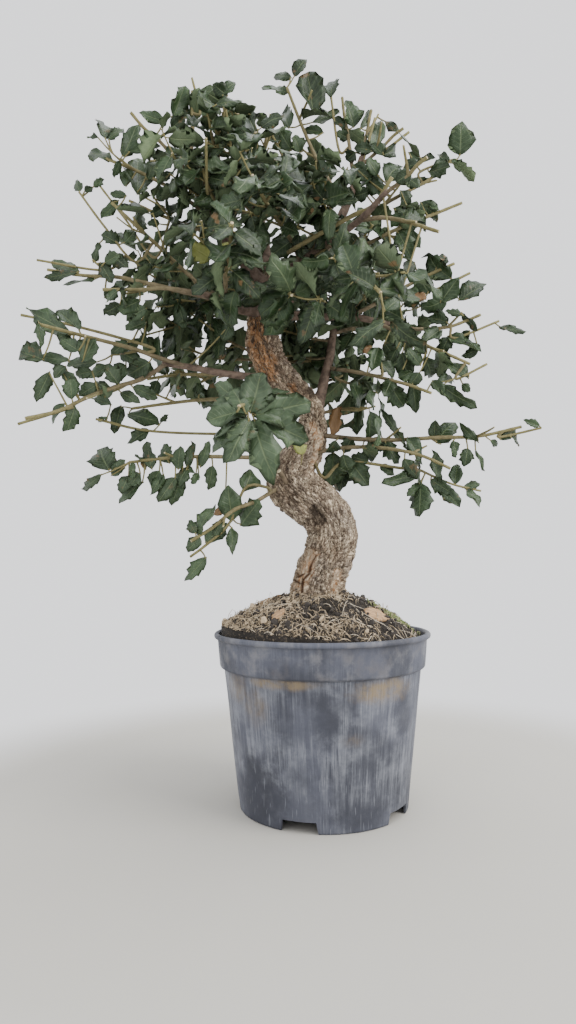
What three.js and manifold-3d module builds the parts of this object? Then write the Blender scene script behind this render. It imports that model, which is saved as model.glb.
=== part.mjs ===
// Cork oak bonsai in a plastic nursery pot. Millimetres, +Z up.
// The origin is on the ground in the middle of the pot. -Y is the front, the side that faces the viewer.
// The tree is a bent trunk with its thick limbs, and a node for each leafy branch that grows from them.
import * as THREE from 'three';
import { mergeVertices } from 'three/addons/utils/BufferGeometryUtils.js';
import Module from 'manifold-3d';

const wasm = await Module();
wasm.setup();

// Pot
const POT_RIM_RADIUS = 95; // a 3 litre pot, 190 mm across its lip
const POT_HEIGHT = 148;
const POT_FOOT_RADIUS = 73;
const POT_WALL = 1.6;
const POT_FLOOR_HEIGHT = 9.5; // the floor stands clear of the ground
const POT_COLLAR_HEIGHT = 28; // the wider band below the lip
const POT_STEP = 3.4; // how far the collar stands out from the wall
const POT_LIP = 3.2; // how far the lip stands out from the collar
const POT_SEGMENTS = 36;
const CENTRE_FOOT_RADIUS = 13;
const NOTCH_COUNT = 5; // drain notches round the foot
const NOTCH_WIDTH = 30;
const NOTCH_HEIGHT = 9;
const NOTCH_FIRST = 252; // degrees round the pot, the notch left of the front
const DRAIN_RADIUS = 5;
const DRAIN_CIRCLE = 58;

// Soil
const GAP = 0.3; // clearance between pieces that touch
const SLIVER = 0.08; // shorter edges are smoothed away
const SOIL_TOP = 183; // where the mound meets the trunk
const SOIL_RIM = 146; // mean height of the soil's edge
const SOIL_LEAN = 7; // the mound is higher on the left
const SOIL_RINGS = 5;
const SOIL_SEGMENTS = 22;

// Wood
const TRUNK_SIDES = 13;
const LIMB_SIDES = 5;
const STEM_SIDES = 4;
const TWIG_SIDES = 3;
const STEPS = 5; // straight stretches in a limb or a branch
const WANDER = 14; // degrees that a stretch strays from its course
const BARK_RELIEF = 0.07; // ribs of cork, as a share of the trunk's radius
const TWIG_LENGTH = 52;
const TWIG_EVERY = 70; // one side twig for this length of branch
const STEEP = 50; // degrees of rise past which the twigs stand all round a branch

// Leaves
const LEAF_LENGTH = 30;
const LEAF_WIDTH = 0.64; // share of the length
const LEAF_THICK = 0.7;
const STALK = 2.4; // from a shoot's middle to where two blades part
const TUFT_STEP = 16; // one tuft for this length of shoot
const ROOT_LEAST = 0.6; // cubic millimetres of a tuft that lie in its shoot
const ROOT_MOST = 7;
const GOLDEN = 137.5; // degrees from one twig to the next round a steep branch
const CROWN = new THREE.Vector3(-30, 0, 470); // the middle of the crown, which leaves face away from

// The trunk's centre line and radius, from below the soil to the fork: [x, y, z, radius]
const TRUNK = [
  [-6, 0, 138, 20], [-6, 0, 160, 27], [-5, 0, 180, 25], [-3, -3, 200, 24], [4, -6, 219, 23],
  [9, -8, 237, 22.5], [5, -8, 254, 23], [-10, -6, 268, 23.5], [-22, -2, 281, 22.5], [-21, 3, 296, 20],
  [-13, 8, 310, 17.5], [-7, 10, 324, 15.5], [-5, 9, 337, 14], [-9, 5, 350, 13.5], [-19, 1, 361, 14],
  [-33, -3, 374, 15], [-43, -6, 388, 16], [-49, -8, 404, 16.5], [-49, -8, 421, 16], [-46, -5, 441, 15],
  [-45, 0, 461, 12.5], [-47, 4, 482, 9.5],
];

// Thick limbs: name, wood it grows from, share along that, heading and rise in degrees, length,
// how far it lifts over its length in degrees, radius where it starts and where it ends.
// Heading 0 is to the right (+X), 90 to the back, 180 to the left and 270 to the front.
const LIMBS = [
  ['limb_left', 'trunk', 0.70, 203, 1, 110, 0, 4.2, 2.8],
  ['limb_right_rise', 'trunk', 0.60, 39, 72, 100, 30, 5.5, 4],
  ['limb_right', 'trunk', 0.86, 2, -2, 125, -20, 4.5, 2.8],
  ['limb_leader', 'trunk', 0.98, 137, 80, 110, 0, 8, 3],
  ['limb_top_right', 'trunk', 0.86, 357, 58, 175, 20, 8.5, 2.8],
  ['limb_top_left', 'trunk', 0.93, 201, 54, 125, 10, 6.5, 2.8],
  ['limb_front_right', 'trunk', 0.97, 308, 8, 155, 15, 4.5, 2.4],
  ['limb_front_left', 'trunk', 0.88, 237, -6, 105, 10, 5, 2.4],
  ['limb_back_left', 'trunk', 0.91, 125, 25, 110, 15, 5, 2.6],
  ['limb_back_right', 'trunk', 0.95, 58, 28, 115, 15, 5.5, 2.6],
  ['limb_back_low', 'trunk', 0.77, 95, 8, 105, 10, 4.5, 2.4],
];

// Leafy branches: name, wood it grows from, share along that, heading, rise, length, lift,
// and the share of its length that is bare at the end, where a shoot was cut back.
const BRANCHES = [
  ['left_long', 'limb_left', 0.97, 214, -28, 130, 8, 0.3],
  ['left_upper', 'limb_left', 0.80, 213, 9, 125, -8, 0.12],
  ['left_mid', 'trunk', 0.68, 181, 3, 130, -16, 0],
  ['left_third', 'trunk', 0.62, 174, 2, 165, 0, 0],
  ['left_low', 'trunk', 0.45, 196, 0, 150, -30, 0],
  ['left_hang', 'trunk', 0.41, 216, -28, 122, -16, 0.05],
  ['front_cluster', 'trunk', 0.64, 260, -15, 215, 10, 0],
  ['right_low', 'trunk', 0.545, 357, 0, 190, 15, 0],
  ['right_lowest', 'trunk', 0.47, 352, -4, 140, -40, 0],
  ['right_mid', 'limb_right', 0.80, 352, -24, 95, 10, 0.06],
  ['right_out', 'limb_right', 1.0, 3, 11, 75, 25, 0],
  ['right_up_a', 'limb_right', 0.60, 2, 25, 110, -10, 0.2],
  ['right_up_b', 'limb_top_right', 0.35, 356, 23, 150, 5, 0.3],
  ['right_top', 'limb_top_right', 0.60, 356, 29, 122, 10, 0],
  ['right_front', 'limb_front_right', 0.50, 287, -38, 130, -20, 0],
  ['right_under', 'limb_right_rise', 0.50, 335, -18, 105, -20, 0],
  ['right_sprig', 'trunk', 0.585, 10, 12, 55, -30, 0],
  ['right_back', 'limb_right_rise', 0.85, 30, 12, 105, -10, 0],
  ['top_a', 'limb_leader', 0.98, 193, 73, 66, 0, 0.3],
  ['top_b', 'limb_leader', 0.80, 300, 62, 66, 0, 0.2],
  ['top_c', 'limb_top_right', 0.72, 164, 72, 138, 10, 0],
  ['top_d', 'limb_top_right', 0.88, 110, 76, 100, 0, 0],
  ['top_e', 'limb_top_right', 0.98, 33, 76, 56, 0, 0.05],
  ['top_f', 'limb_top_right', 0.94, 335, 32, 50, -10, 0.3],
  ['top_left_a', 'limb_top_left', 0.85, 304, 46, 66, 10, 0],
  ['top_left_b', 'limb_top_left', 0.98, 88, 82, 84, 0, 0.12],
  ['top_left_c', 'limb_top_left', 0.92, 210, 38, 75, -5, 0.4],
  ['top_left_d', 'limb_top_left', 0.62, 178, 30, 118, -10, 0],
  ['left_high_a', 'limb_top_left', 0.40, 181, 24, 105, -5, 0.2],
  ['left_high_b', 'limb_front_left', 0.45, 188, 40, 135, 5, 0.05],
  ['left_high_c', 'limb_front_left', 0.70, 174, 14, 150, -10, 0.15],
  ['left_side', 'limb_front_left', 0.92, 190, 0, 75, -10, 0],
  ['front_top', 'limb_front_right', 0.30, 250, 14, 105, -10, 0],
  ['front_mid', 'limb_front_left', 0.60, 276, 10, 100, 5, 0],
  ['front_low', 'trunk', 0.895, 277, -16, 110, -20, 0],
  ['front_right_tip', 'limb_front_right', 0.97, 310, 15, 42, 10, 0],
  ['front_right_b', 'limb_front_right', 0.78, 336, -24, 95, -30, 0],
  ['inner_left', 'limb_top_left', 0.35, 250, 30, 80, 0, 0],
  ['inner_front', 'limb_leader', 0.35, 270, 28, 95, 0, 0],
  ['inner_top', 'limb_leader', 0.70, 255, 40, 75, 0, 0],
  ['inner_right', 'limb_top_right', 0.30, 285, 20, 85, 0, 0],
  ['right_inner', 'limb_right_rise', 0.95, 300, 10, 85, -10, 0],
  ['back_left_a', 'limb_back_left', 0.96, 150, 18, 80, -10, 0],
  ['back_left_b', 'limb_back_left', 0.55, 100, 40, 95, -10, 0.1],
  ['back_left_c', 'limb_back_left', 0.35, 172, 8, 105, -10, 0],
  ['back_right_a', 'limb_back_right', 0.96, 40, 12, 75, -15, 0],
  ['back_right_b', 'limb_back_right', 0.55, 85, 40, 90, -5, 0.15],
  ['back_right_c', 'limb_back_right', 0.35, 10, 20, 95, -15, 0],
  ['back_low_a', 'limb_back_low', 0.95, 75, -12, 70, -20, 0],
  ['back_low_b', 'limb_back_low', 0.55, 140, -5, 105, -15, 0],
  ['back_top', 'limb_leader', 0.45, 80, 55, 105, 10, 0.1],
];

const DEGREE = Math.PI / 180;
const UP = new THREE.Vector3(0, 0, 1);
const RIGHT = new THREE.Vector3(1, 0, 0);

// A repeatable number from 0 to 1 for one branch, one item on it and one use.
function draw(branch, item, use) {
  const wave = Math.sin(branch * 12.9898 + item * 78.233 + use * 37.719) * 43758.5453;
  return wave - Math.floor(wave);
}

function direction(heading, rise) {
  const level = Math.cos(rise * DEGREE);
  return new THREE.Vector3(
    Math.cos(heading * DEGREE) * level, Math.sin(heading * DEGREE) * level, Math.sin(rise * DEGREE));
}

// Solids and geometries

function toSolid(geometry) {
  const bare = geometry.index ? geometry.toNonIndexed() : geometry.clone();
  bare.deleteAttribute('normal');
  bare.deleteAttribute('uv');
  const merged = mergeVertices(bare, 1e-4);
  const corners = [];
  for (let i = 0; i < merged.index.count; i += 3) {
    const [a, b, c] = merged.index.array.slice(i, i + 3);
    if (a !== b && b !== c && c !== a) corners.push(a, b, c);
  }
  return new wasm.Manifold(new wasm.Mesh({
    numProp: 3,
    vertProperties: Float32Array.from(merged.attributes.position.array),
    triVerts: Uint32Array.from(corners),
  }));
}

function toGeometry(solid) {
  const mesh = solid.getMesh();
  const geometry = new THREE.BufferGeometry();
  geometry.setAttribute('position', new THREE.BufferAttribute(mesh.vertProperties, mesh.numProp));
  geometry.setIndex(new THREE.BufferAttribute(mesh.triVerts, 1));
  const flat = geometry.toNonIndexed();
  flat.computeVertexNormals();
  return flat;
}

function largestBody(solid) {
  return solid.decompose().sort((a, b) => b.volume() - a.volume())[0];
}

// Pieces joined to one body, without the slivers that joining leaves
function fuse(pieces) {
  return largestBody(wasm.Manifold.union(pieces).asOriginal().simplify(SLIVER));
}

// Rings of points round a path, joined to a closed tube. thickness(i, angle) is the radius of
// ring i in that direction.
function loft(path, sides, thickness) {
  const rings = [];
  let side = null;
  path.forEach((point, i) => {
    const ahead = path[Math.min(i + 1, path.length - 1)];
    const behind = path[Math.max(i - 1, 0)];
    const along = ahead.clone().sub(behind).normalize();
    if (!side) side = Math.abs(along.z) > 0.9 ? RIGHT.clone() : UP.clone();
    side.addScaledVector(along, -side.dot(along)).normalize();
    const other = along.clone().cross(side);
    for (let k = 0; k < sides; k++) {
      const angle = (k / sides) * 2 * Math.PI;
      const radius = thickness(i, angle);
      rings.push(point.clone()
        .addScaledVector(side, radius * Math.cos(angle))
        .addScaledVector(other, radius * Math.sin(angle)));
    }
  });
  const faces = [];
  const last = (path.length - 1) * sides;
  for (let i = 0; i + 1 < path.length; i++) {
    for (let k = 0; k < sides; k++) {
      const a = i * sides + k;
      const b = i * sides + (k + 1) % sides;
      faces.push(a, b, b + sides, a, b + sides, a + sides);
    }
  }
  for (let k = 1; k + 1 < sides; k++) {
    faces.push(0, k + 1, k, last, last + k, last + k + 1);
  }
  const geometry = new THREE.BufferGeometry().setFromPoints(rings);
  geometry.setIndex(faces);
  return toSolid(geometry);
}

// Pot

function lathe(profile, segments) {
  const points = profile.map(([r, z]) => new THREE.Vector2(r, z));
  return new THREE.LatheGeometry(points, segments).rotateX(Math.PI / 2);
}

const collarBottom = POT_HEIGHT - POT_COLLAR_HEIGHT;
const collarRadius = POT_RIM_RADIUS - POT_LIP;
const collarBottomRadius = collarRadius - 2; // the collar tapers
const wallTopRadius = collarBottomRadius - POT_STEP;

// The pot's wall inside: radius at a height
function insideRadius(z) {
  const share = (z - POT_FLOOR_HEIGHT) / (collarBottom - POT_FLOOR_HEIGHT);
  return POT_FOOT_RADIUS - POT_WALL + share * (wallTopRadius - POT_FOOT_RADIUS);
}

function makePot() {
  const floorTop = POT_FLOOR_HEIGHT + 2;
  const profile = [
    [0, 0], [CENTRE_FOOT_RADIUS, 0], [CENTRE_FOOT_RADIUS, POT_FLOOR_HEIGHT],
    [POT_FOOT_RADIUS - POT_WALL, POT_FLOOR_HEIGHT], [POT_FOOT_RADIUS - POT_WALL, 0],
    [POT_FOOT_RADIUS, 0],
    [wallTopRadius, collarBottom - 1.5], [collarBottomRadius, collarBottom],
    [collarRadius, POT_HEIGHT - 5], [POT_RIM_RADIUS, POT_HEIGHT - 4],
    [POT_RIM_RADIUS, POT_HEIGHT - 1], [POT_RIM_RADIUS - 1.5, POT_HEIGHT],
    [collarRadius - POT_WALL, POT_HEIGHT - 1],
    [collarBottomRadius - POT_WALL, collarBottom + 1.5], [wallTopRadius - POT_WALL, collarBottom - 3],
    [insideRadius(floorTop), floorTop], [0, floorTop],
  ];
  let pot = toSolid(lathe(profile, POT_SEGMENTS));
  for (let i = 0; i < NOTCH_COUNT; i++) {
    const turn = (NOTCH_FIRST + (i * 360) / NOTCH_COUNT) * DEGREE;
    const notch = new THREE.BoxGeometry(12, NOTCH_WIDTH, 2 * NOTCH_HEIGHT)
      .translate(POT_FOOT_RADIUS, 0, 0).rotateZ(turn);
    const drain = new THREE.CylinderGeometry(DRAIN_RADIUS, DRAIN_RADIUS, 12, 8)
      .rotateX(Math.PI / 2).translate(DRAIN_CIRCLE, 0, POT_FLOOR_HEIGHT + 2).rotateZ(turn);
    pot = pot.subtract(toSolid(notch)).subtract(toSolid(drain));
  }
  return pot;
}

// Soil

// The soil's surface: a mound round the trunk that falls off to the rim, higher on the left,
// with lumps from crossed waves.
function soilHeight(x, y) {
  const out = Math.min(1, Math.hypot(x, y) / 89);
  const edge = SOIL_RIM - SOIL_LEAN * (x / 89) - 2.5 * (y / 89);
  const lumps = 1.6 * Math.sin(x * 0.11 + 1) * Math.sin(y * 0.13) + 0.9 * Math.sin(x * 0.29 - y * 0.23);
  return edge + (SOIL_TOP - edge) * (1 - out ** 1.8) + lumps * (1 - out ** 4);
}

function makeSoil(trunkGrown) {
  const rimRadius = collarRadius - POT_WALL - 1.2;
  const floor = POT_FLOOR_HEIGHT + 2 + GAP;
  const profile = [
    [0, floor], [insideRadius(floor) - 2 * GAP, floor],
    [wallTopRadius - POT_WALL - 2 * GAP, collarBottom - 3], [collarBottomRadius - POT_WALL - 2 * GAP, collarBottom + 2],
  ];
  for (let i = SOIL_RINGS; i >= 0; i--) profile.push([(rimRadius * i) / SOIL_RINGS, POT_HEIGHT]);
  const geometry = lathe(profile, SOIL_SEGMENTS);
  const position = geometry.attributes.position;
  for (let i = 0; i < position.count; i++) {
    if (position.getZ(i) > POT_HEIGHT - 0.01) {
      position.setZ(i, soilHeight(position.getX(i), position.getY(i)));
    }
  }
  return toSolid(geometry).subtract(trunkGrown);
}

// A flake of bark lying on the soil: an uneven outline, raised with the soil under it.
function makeFlake(x, y, length, width, turn, soil, seed) {
  const corners = 9;
  const outline = new THREE.Shape();
  for (let k = 0; k < corners; k++) {
    const angle = (k / corners) * 2 * Math.PI;
    const reach = 0.42 + 0.14 * draw(seed, k, 7);
    const point = [length * reach * Math.cos(angle), width * reach * Math.sin(angle)];
    if (k) outline.lineTo(...point);
    else outline.moveTo(...point);
  }
  const geometry = new THREE.ExtrudeGeometry(outline, { depth: 4, bevelEnabled: false })
    .rotateZ(turn * DEGREE).translate(x, y, 0);
  const position = geometry.attributes.position;
  for (let i = 0; i < position.count; i++) {
    const top = position.getZ(i) > 2;
    const ground = soilHeight(position.getX(i), position.getY(i));
    position.setZ(i, ground + (top ? 3.2 : -2));
  }
  return largestBody(toSolid(geometry).subtract(soil.translate([0, 0, GAP])));
}

// Wood

// A limb's or a branch's course: straight stretches whose rise changes by lift from start to end.
function course(start, heading, rise, length, lift, seed, steps = STEPS) {
  const points = [start.clone()];
  for (let i = 0; i < steps; i++) {
    const share = (i + 0.5) / steps - 0.5;
    const stray = WANDER * (draw(seed, i, 1) - 0.5);
    const climb = WANDER * (draw(seed, i, 2) - 0.5);
    const step = direction(heading + stray, rise + lift * share + climb);
    points.push(points[i].clone().addScaledVector(step, length / steps));
  }
  return points;
}

// The point at a share of a course's length, and its direction there
function placeOn(points, share) {
  const lengths = points.slice(1).map((p, i) => p.distanceTo(points[i]));
  let left = share * lengths.reduce((sum, l) => sum + l, 0);
  let i = 0;
  while (i < lengths.length - 1 && left > lengths[i]) left -= lengths[i++];
  const along = points[i + 1].clone().sub(points[i]).normalize();
  return { point: points[i].clone().addScaledVector(along, left), along };
}

function tapered(points, sides, thick, thin, extra = 0) {
  return loft(points, sides, (i) => thick + ((thin - thick) * i) / (points.length - 1) + extra);
}

const trunkPoints = TRUNK.map(([x, y, z]) => new THREE.Vector3(x, y, z));
const wood = { trunk: trunkPoints };

// The trunk and its limbs in one solid. Its cork stands up in ribs that wind round it.
function makeTrunk(extra) {
  const pieces = [loft(trunkPoints, TRUNK_SIDES, (i, angle) => {
    const ribs = Math.sin(3 * angle + 0.5 * i) + 0.7 * Math.sin(7 * angle - 0.9 * i);
    return TRUNK[i][3] * (1 + BARK_RELIEF * ribs) + extra;
  })];
  LIMBS.forEach(([name, from, share, heading, rise, length, lift, thick, thin], i) => {
    wood[name] = course(placeOn(wood[from], share).point, heading, rise, length, lift, 100 + i);
    pieces.push(tapered(wood[name], LIMB_SIDES, thick, thin, extra));
  });
  return fuse(pieces);
}

// The side twigs of a branch, on alternate sides, or all round it where it is steep
function twigsOf(points, heading, rise, length, bare, seed) {
  const count = Math.max(1, Math.round(length / TWIG_EVERY));
  const twigs = [];
  for (let j = 0; j < count; j++) {
    const share = (0.25 + (0.65 * (j + 0.5)) / count) * (1 - bare);
    const spread = 38 + 24 * draw(seed, j, 3);
    const turn = Math.abs(rise) > STEEP ? GOLDEN * j : spread * (j % 2 ? 1 : -1);
    const climb = rise * 0.6 + 40 * (draw(seed, j, 4) - 0.35);
    const reach = TWIG_LENGTH * (0.65 + 0.5 * draw(seed, j, 5)) * (1 - 0.4 * share);
    const { point } = placeOn(points, share);
    twigs.push(course(point, heading + turn, climb, reach, 10, seed * 10 + j, 2));
  }
  return twigs;
}

// Leaves

// The tufts of one shoot, from its tip back. Each has a leaf that points ahead and one to each side,
// in a plane that faces ahead, up and out of the crown.
function tuftsOf(points, from, to, seed) {
  const length = points.slice(1).reduce((sum, p, i) => sum + p.distanceTo(points[i]), 0);
  const count = Math.max(1, Math.round((length * (to - from)) / TUFT_STEP));
  const tufts = [];
  for (let i = 0; i < count; i++) {
    const { point, along } = placeOn(points, to - ((to - from) * i) / count - STALK / 2 / length);
    const outward = point.clone().sub(CROWN).normalize();
    const chance = new THREE.Vector3(draw(seed, i, 8), draw(seed, i, 9), draw(seed, i, 10));
    const facing = along.clone().multiplyScalar(0.7).addScaledVector(UP, 0.6)
      .addScaledVector(outward, 0.4).add(chance.subScalar(0.5).multiplyScalar(1.4)).normalize();
    const ahead = along.clone().addScaledVector(outward, 0.2);
    ahead.addScaledVector(facing, -facing.dot(ahead)).normalize();
    const across = ahead.clone().cross(facing);
    const lean = i === 0 && to === 1 ? 0 : (i % 2 ? 42 : -42);
    const leaves = [0, 108, -108].map((open, k) => {
      const angle = (lean + open + 16 * (draw(seed, i, 11 + k) - 0.5)) * DEGREE;
      const axis = ahead.clone().multiplyScalar(Math.cos(angle))
        .addScaledVector(across, Math.sin(angle))
        .addScaledVector(facing, 0.7 * draw(seed, i, 14 + k) - 0.4)
        .normalize();
      const size = LEAF_LENGTH * (0.75 + 0.45 * draw(seed, i, 17 + k));
      return { axis, size };
    });
    tufts.push({ point, facing, leaves });
  }
  return tufts;
}

// Half of a blade's edge from its stalk to its tip: share of the half width, share of the length,
// and rise as a share of the length. It has two teeth with a bay between them.
const LEAF_EDGE = [[0.8, 0.3, 0.05], [0.74, 0.46, 0.02], [0.95, 0.6, 0.09]];

// Three blades with toothed, waved edges in one piece, joined where their stalks meet.
// Each blade is a fan of triangles round its tip, the same on both faces.
function makeTuft({ point, facing, leaves }) {
  const upper = [];
  const away = [];
  const faces = [];
  const put = (place, normal) => upper.push(place) && away.push(normal);
  const starts = [0, 2, 1].map((k, i, order) => { // round the tuft: ahead, left, right
    const { axis, size } = leaves[k];
    const next = leaves[order[(i + 1) % 3]];
    const normal = facing.clone().addScaledVector(axis, -facing.dot(axis)).normalize();
    const across = axis.clone().cross(normal);
    const half = (size * LEAF_WIDTH) / 2;
    const start = upper.length;
    const corner = ([x, y, z]) => put(point.clone().addScaledVector(across, x * half)
      .addScaledVector(axis, y * size).addScaledVector(normal, z * size), normal);
    LEAF_EDGE.forEach(corner);
    corner([0, 1, -0.08]);
    LEAF_EDGE.toReversed().forEach(([x, y, z]) => corner([-x, y + 0.05, z]));
    const fork = axis.clone().add(next.axis);
    fork.addScaledVector(facing, -facing.dot(fork)).normalize();
    put(point.clone().addScaledVector(fork, STALK), facing);
    return start;
  });
  const n = upper.length; // the lower face's corners start here
  const corners = [...upper.map((p, i) => p.clone().addScaledVector(away[i], LEAF_THICK / 2)),
    ...upper.map((p, i) => p.clone().addScaledVector(away[i], -LEAF_THICK / 2))];
  const both = (a, b, c) => faces.push(a, b, c, a + n, c + n, b + n);
  starts.forEach((start) => {
    const before = (start + n - 1) % n;
    const tip = start + LEAF_EDGE.length;
    const round = [before, ...Array.from({ length: 8 }, (_, i) => start + i)];
    round.forEach((corner, i) => {
      const next = round[(i + 1) % round.length];
      if (corner !== tip && next !== tip) both(tip, corner, next);
    });
  });
  both(...starts.map((start) => (start + n - 1) % n));
  for (let k = 0; k < n; k++) {
    const next = (k + 1) % n;
    faces.push(k, k + n, next, next, k + n, next + n);
  }
  const geometry = new THREE.BufferGeometry().setFromPoints(corners);
  geometry.setIndex(faces);
  return toSolid(geometry);
}

// Two solids stand clear of each other. Their boxes are compared first, which is quick.
function clear(a, b) {
  const p = a.boundingBox();
  const q = b.boundingBox();
  for (let k = 0; k < 3; k++) {
    if (p.min[k] > q.max[k] + GAP || q.min[k] > p.max[k] + GAP) return true;
  }
  return a.minGap(b, 2 * GAP) > GAP;
}

// Assembly

const trunk = makeTrunk(0);
const trunkGrown = makeTrunk(GAP);
const pot = makePot();
const soil = makeSoil(trunkGrown);
const flakes = {
  bark_flake_right: makeFlake(44, -42, 24, 15, 40, soil, 1),
  bark_flake_left: makeFlake(-42, 6, 26, 13, 15, soil, 2),
  bark_flake_front: makeFlake(-38, -52, 15, 10, 70, soil, 3),
};

// Each branch's stem, then its side twigs where they miss the other branches
const branches = BRANCHES.map(([name, from, share, heading, rise, length, lift, bare], i) => {
  const points = course(placeOn(wood[from], share).point, heading, rise, length, lift, i);
  const stem = largestBody(tapered(points, STEM_SIDES, 1.3 + 0.006 * length, 1.3).subtract(trunkGrown));
  const twigs = twigsOf(points, heading, rise, length, bare, i);
  const shoots = [{ points, from: 0.3, to: 1 - bare, solid: stem }];
  return { name, twigs, shoots, tufts: [], seed: i };
});

function clearOfOthers(solid, own) {
  return [trunk, pot, soil].every((other) => clear(solid, other))
    && branches.every((other) => other === own
      || other.shoots.every((shoot) => clear(solid, shoot.solid))
      && other.tufts.every((tuft) => clear(solid, tuft)));
}

for (const branch of branches) {
  for (const points of branch.twigs) {
    const twig = tapered(points, TWIG_SIDES, 1.3, 0.8);
    if (!clearOfOthers(twig, branch)) continue;
    branch.shoots.push({ points, from: 0.2, to: 1, solid: twig });
  }
}

// A tuft of leaves goes on each shoot's end where it misses the rest, or on the next place back
for (const branch of branches) {
  branch.shoots.forEach(({ points, from, to }, j) => {
    const rest = branch.shoots.filter((shoot, k) => k !== j && (j === 0 || k > 0));
    for (const place of tuftsOf(points, from, to, branch.seed * 20 + j)) {
      const tuft = makeTuft(place);
      const near = rest.map((shoot) => shoot.solid).concat(branch.tufts);
      const root = tuft.intersect(branch.shoots[j].solid).volume();
      const rooted = root > ROOT_LEAST && root < ROOT_MOST;
      if (rooted && near.every((other) => clear(tuft, other)) && clearOfOthers(tuft, branch)) {
        branch.tufts.push(tuft);
        break;
      }
    }
  });
}

const bark = new THREE.MeshStandardMaterial({ color: 0x8a7660, roughness: 0.95, metalness: 0 });
const foliage = new THREE.MeshStandardMaterial({ color: 0x4b5f4a, roughness: 0.55, metalness: 0 });
const plastic = new THREE.MeshStandardMaterial({ color: 0x5d6069, roughness: 0.6, metalness: 0 });
const earth = new THREE.MeshStandardMaterial({ color: 0x5b4a3a, roughness: 1, metalness: 0 });
const cork = new THREE.MeshStandardMaterial({ color: 0xa98a68, roughness: 0.9, metalness: 0 });

const bonsai = new THREE.Group();
function addNode(name, solid, material) {
  const mesh = new THREE.Mesh(toGeometry(solid), material);
  mesh.name = name;
  bonsai.add(mesh);
}
addNode('pot', pot, plastic);
addNode('soil', soil, earth);
addNode('trunk', trunk, bark);
for (const [name, solid] of Object.entries(flakes)) addNode(name, solid, cork);
for (const { name, shoots, tufts } of branches) {
  const pieces = [...shoots.map((shoot) => shoot.solid), ...tufts];
  addNode('branch_' + name, fuse(pieces), foliage);
}

export default bonsai;
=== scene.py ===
"""Cork oak bonsai in a plastic nursery pot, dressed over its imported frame.

The origin is on the ground in the middle of the pot, +Z is up and the viewer stands at -Y.
Shapes are worked out in millimetres, as the solids were, and each mesh is made in metres.
"""
import math

import bpy
import numpy as np
from bpy.props import FloatProperty, FloatVectorProperty, IntProperty, PointerProperty
from mathutils import Matrix, Vector


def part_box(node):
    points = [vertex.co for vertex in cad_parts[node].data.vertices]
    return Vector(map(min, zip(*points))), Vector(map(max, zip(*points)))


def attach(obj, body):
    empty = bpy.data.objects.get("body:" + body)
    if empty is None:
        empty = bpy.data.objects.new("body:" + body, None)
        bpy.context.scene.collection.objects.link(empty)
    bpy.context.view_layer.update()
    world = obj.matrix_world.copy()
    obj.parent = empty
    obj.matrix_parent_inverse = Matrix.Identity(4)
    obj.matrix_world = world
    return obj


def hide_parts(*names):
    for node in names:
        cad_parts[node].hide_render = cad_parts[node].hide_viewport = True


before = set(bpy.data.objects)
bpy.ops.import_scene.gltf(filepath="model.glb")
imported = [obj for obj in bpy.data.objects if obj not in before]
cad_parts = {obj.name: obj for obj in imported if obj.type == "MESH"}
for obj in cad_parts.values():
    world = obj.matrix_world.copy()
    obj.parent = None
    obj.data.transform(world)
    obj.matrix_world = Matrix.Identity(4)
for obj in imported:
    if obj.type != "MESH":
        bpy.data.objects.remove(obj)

bl_info = {
    "name": "Cork Oak Bonsai",
    "version": (1, 0, 0),
    "blender": (4, 5, 0),
    "location": "View3D > Sidebar > Bonsai",
    "description": "Builds a cork oak bonsai in its nursery pot, piece by piece",
    "category": "Add Mesh",
}

MM = 0.001
UP = np.array([0.0, 0.0, 1.0])
RIGHT = np.array([1.0, 0.0, 0.0])

_, POT_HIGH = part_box("pot")

# The viewer: place in mm, radians above level and of roll, and the picture's width and height
# and focal length in its own points
CAMERA_AT = np.array([-29.0, -610.8, 210.4])
CAMERA_PITCH = 0.071
CAMERA_ROLL = -0.008
PICTURE = (576, 1024)
PICTURE_LENS = 680.0

# The trunk's centre line and radius, from below the soil to the fork: x, y, z, radius
TRUNK = np.array([
    [-6, 0, 138, 20], [-6, 0, 160, 27], [-5, 0, 180, 25], [-3, -3, 200, 24], [4, -6, 219, 23],
    [9, -8, 237, 22.5], [5, -8, 254, 23], [-10, -6, 268, 23.5], [-22, -2, 281, 22.5], [-21, 3, 296, 20],
    [-13, 8, 310, 17.5], [-7, 10, 324, 15.5], [-5, 9, 337, 14], [-9, 5, 350, 13.5], [-19, 1, 361, 14],
    [-33, -3, 374, 15], [-43, -6, 388, 16], [-49, -8, 404, 16.5], [-49, -8, 421, 16], [-46, -5, 441, 15],
    [-45, 0, 461, 12.5], [-47, 4, 482, 9.5],
])

# Thick limbs: name, wood it grows from, share along that, heading and rise in degrees, length,
# how far it lifts over its length in degrees, radius where it starts and where it ends.
# Heading 0 is to the right (+X), 90 to the back, 180 to the left and 270 to the front.
LIMBS = [
    ("limb_left", "trunk", 0.70, 203, 1, 110, 0, 4.2, 2.8),
    ("limb_right_rise", "trunk", 0.60, 39, 72, 100, 30, 5.5, 4),
    ("limb_right", "trunk", 0.86, 2, -2, 125, -20, 4.5, 2.8),
    ("limb_leader", "trunk", 0.98, 137, 80, 110, 0, 8, 3),
    ("limb_top_right", "trunk", 0.86, 357, 58, 175, 20, 8.5, 2.8),
    ("limb_top_left", "trunk", 0.93, 201, 54, 125, 10, 6.5, 2.8),
    ("limb_front_right", "trunk", 0.97, 308, 8, 155, 15, 4.5, 2.4),
    ("limb_front_left", "trunk", 0.88, 237, -6, 105, 10, 5, 2.4),
    ("limb_back_left", "trunk", 0.91, 125, 25, 110, 15, 5, 2.6),
    ("limb_back_right", "trunk", 0.95, 58, 28, 115, 15, 5.5, 2.6),
    ("limb_back_low", "trunk", 0.77, 95, 8, 105, 10, 4.5, 2.4),
]

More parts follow.
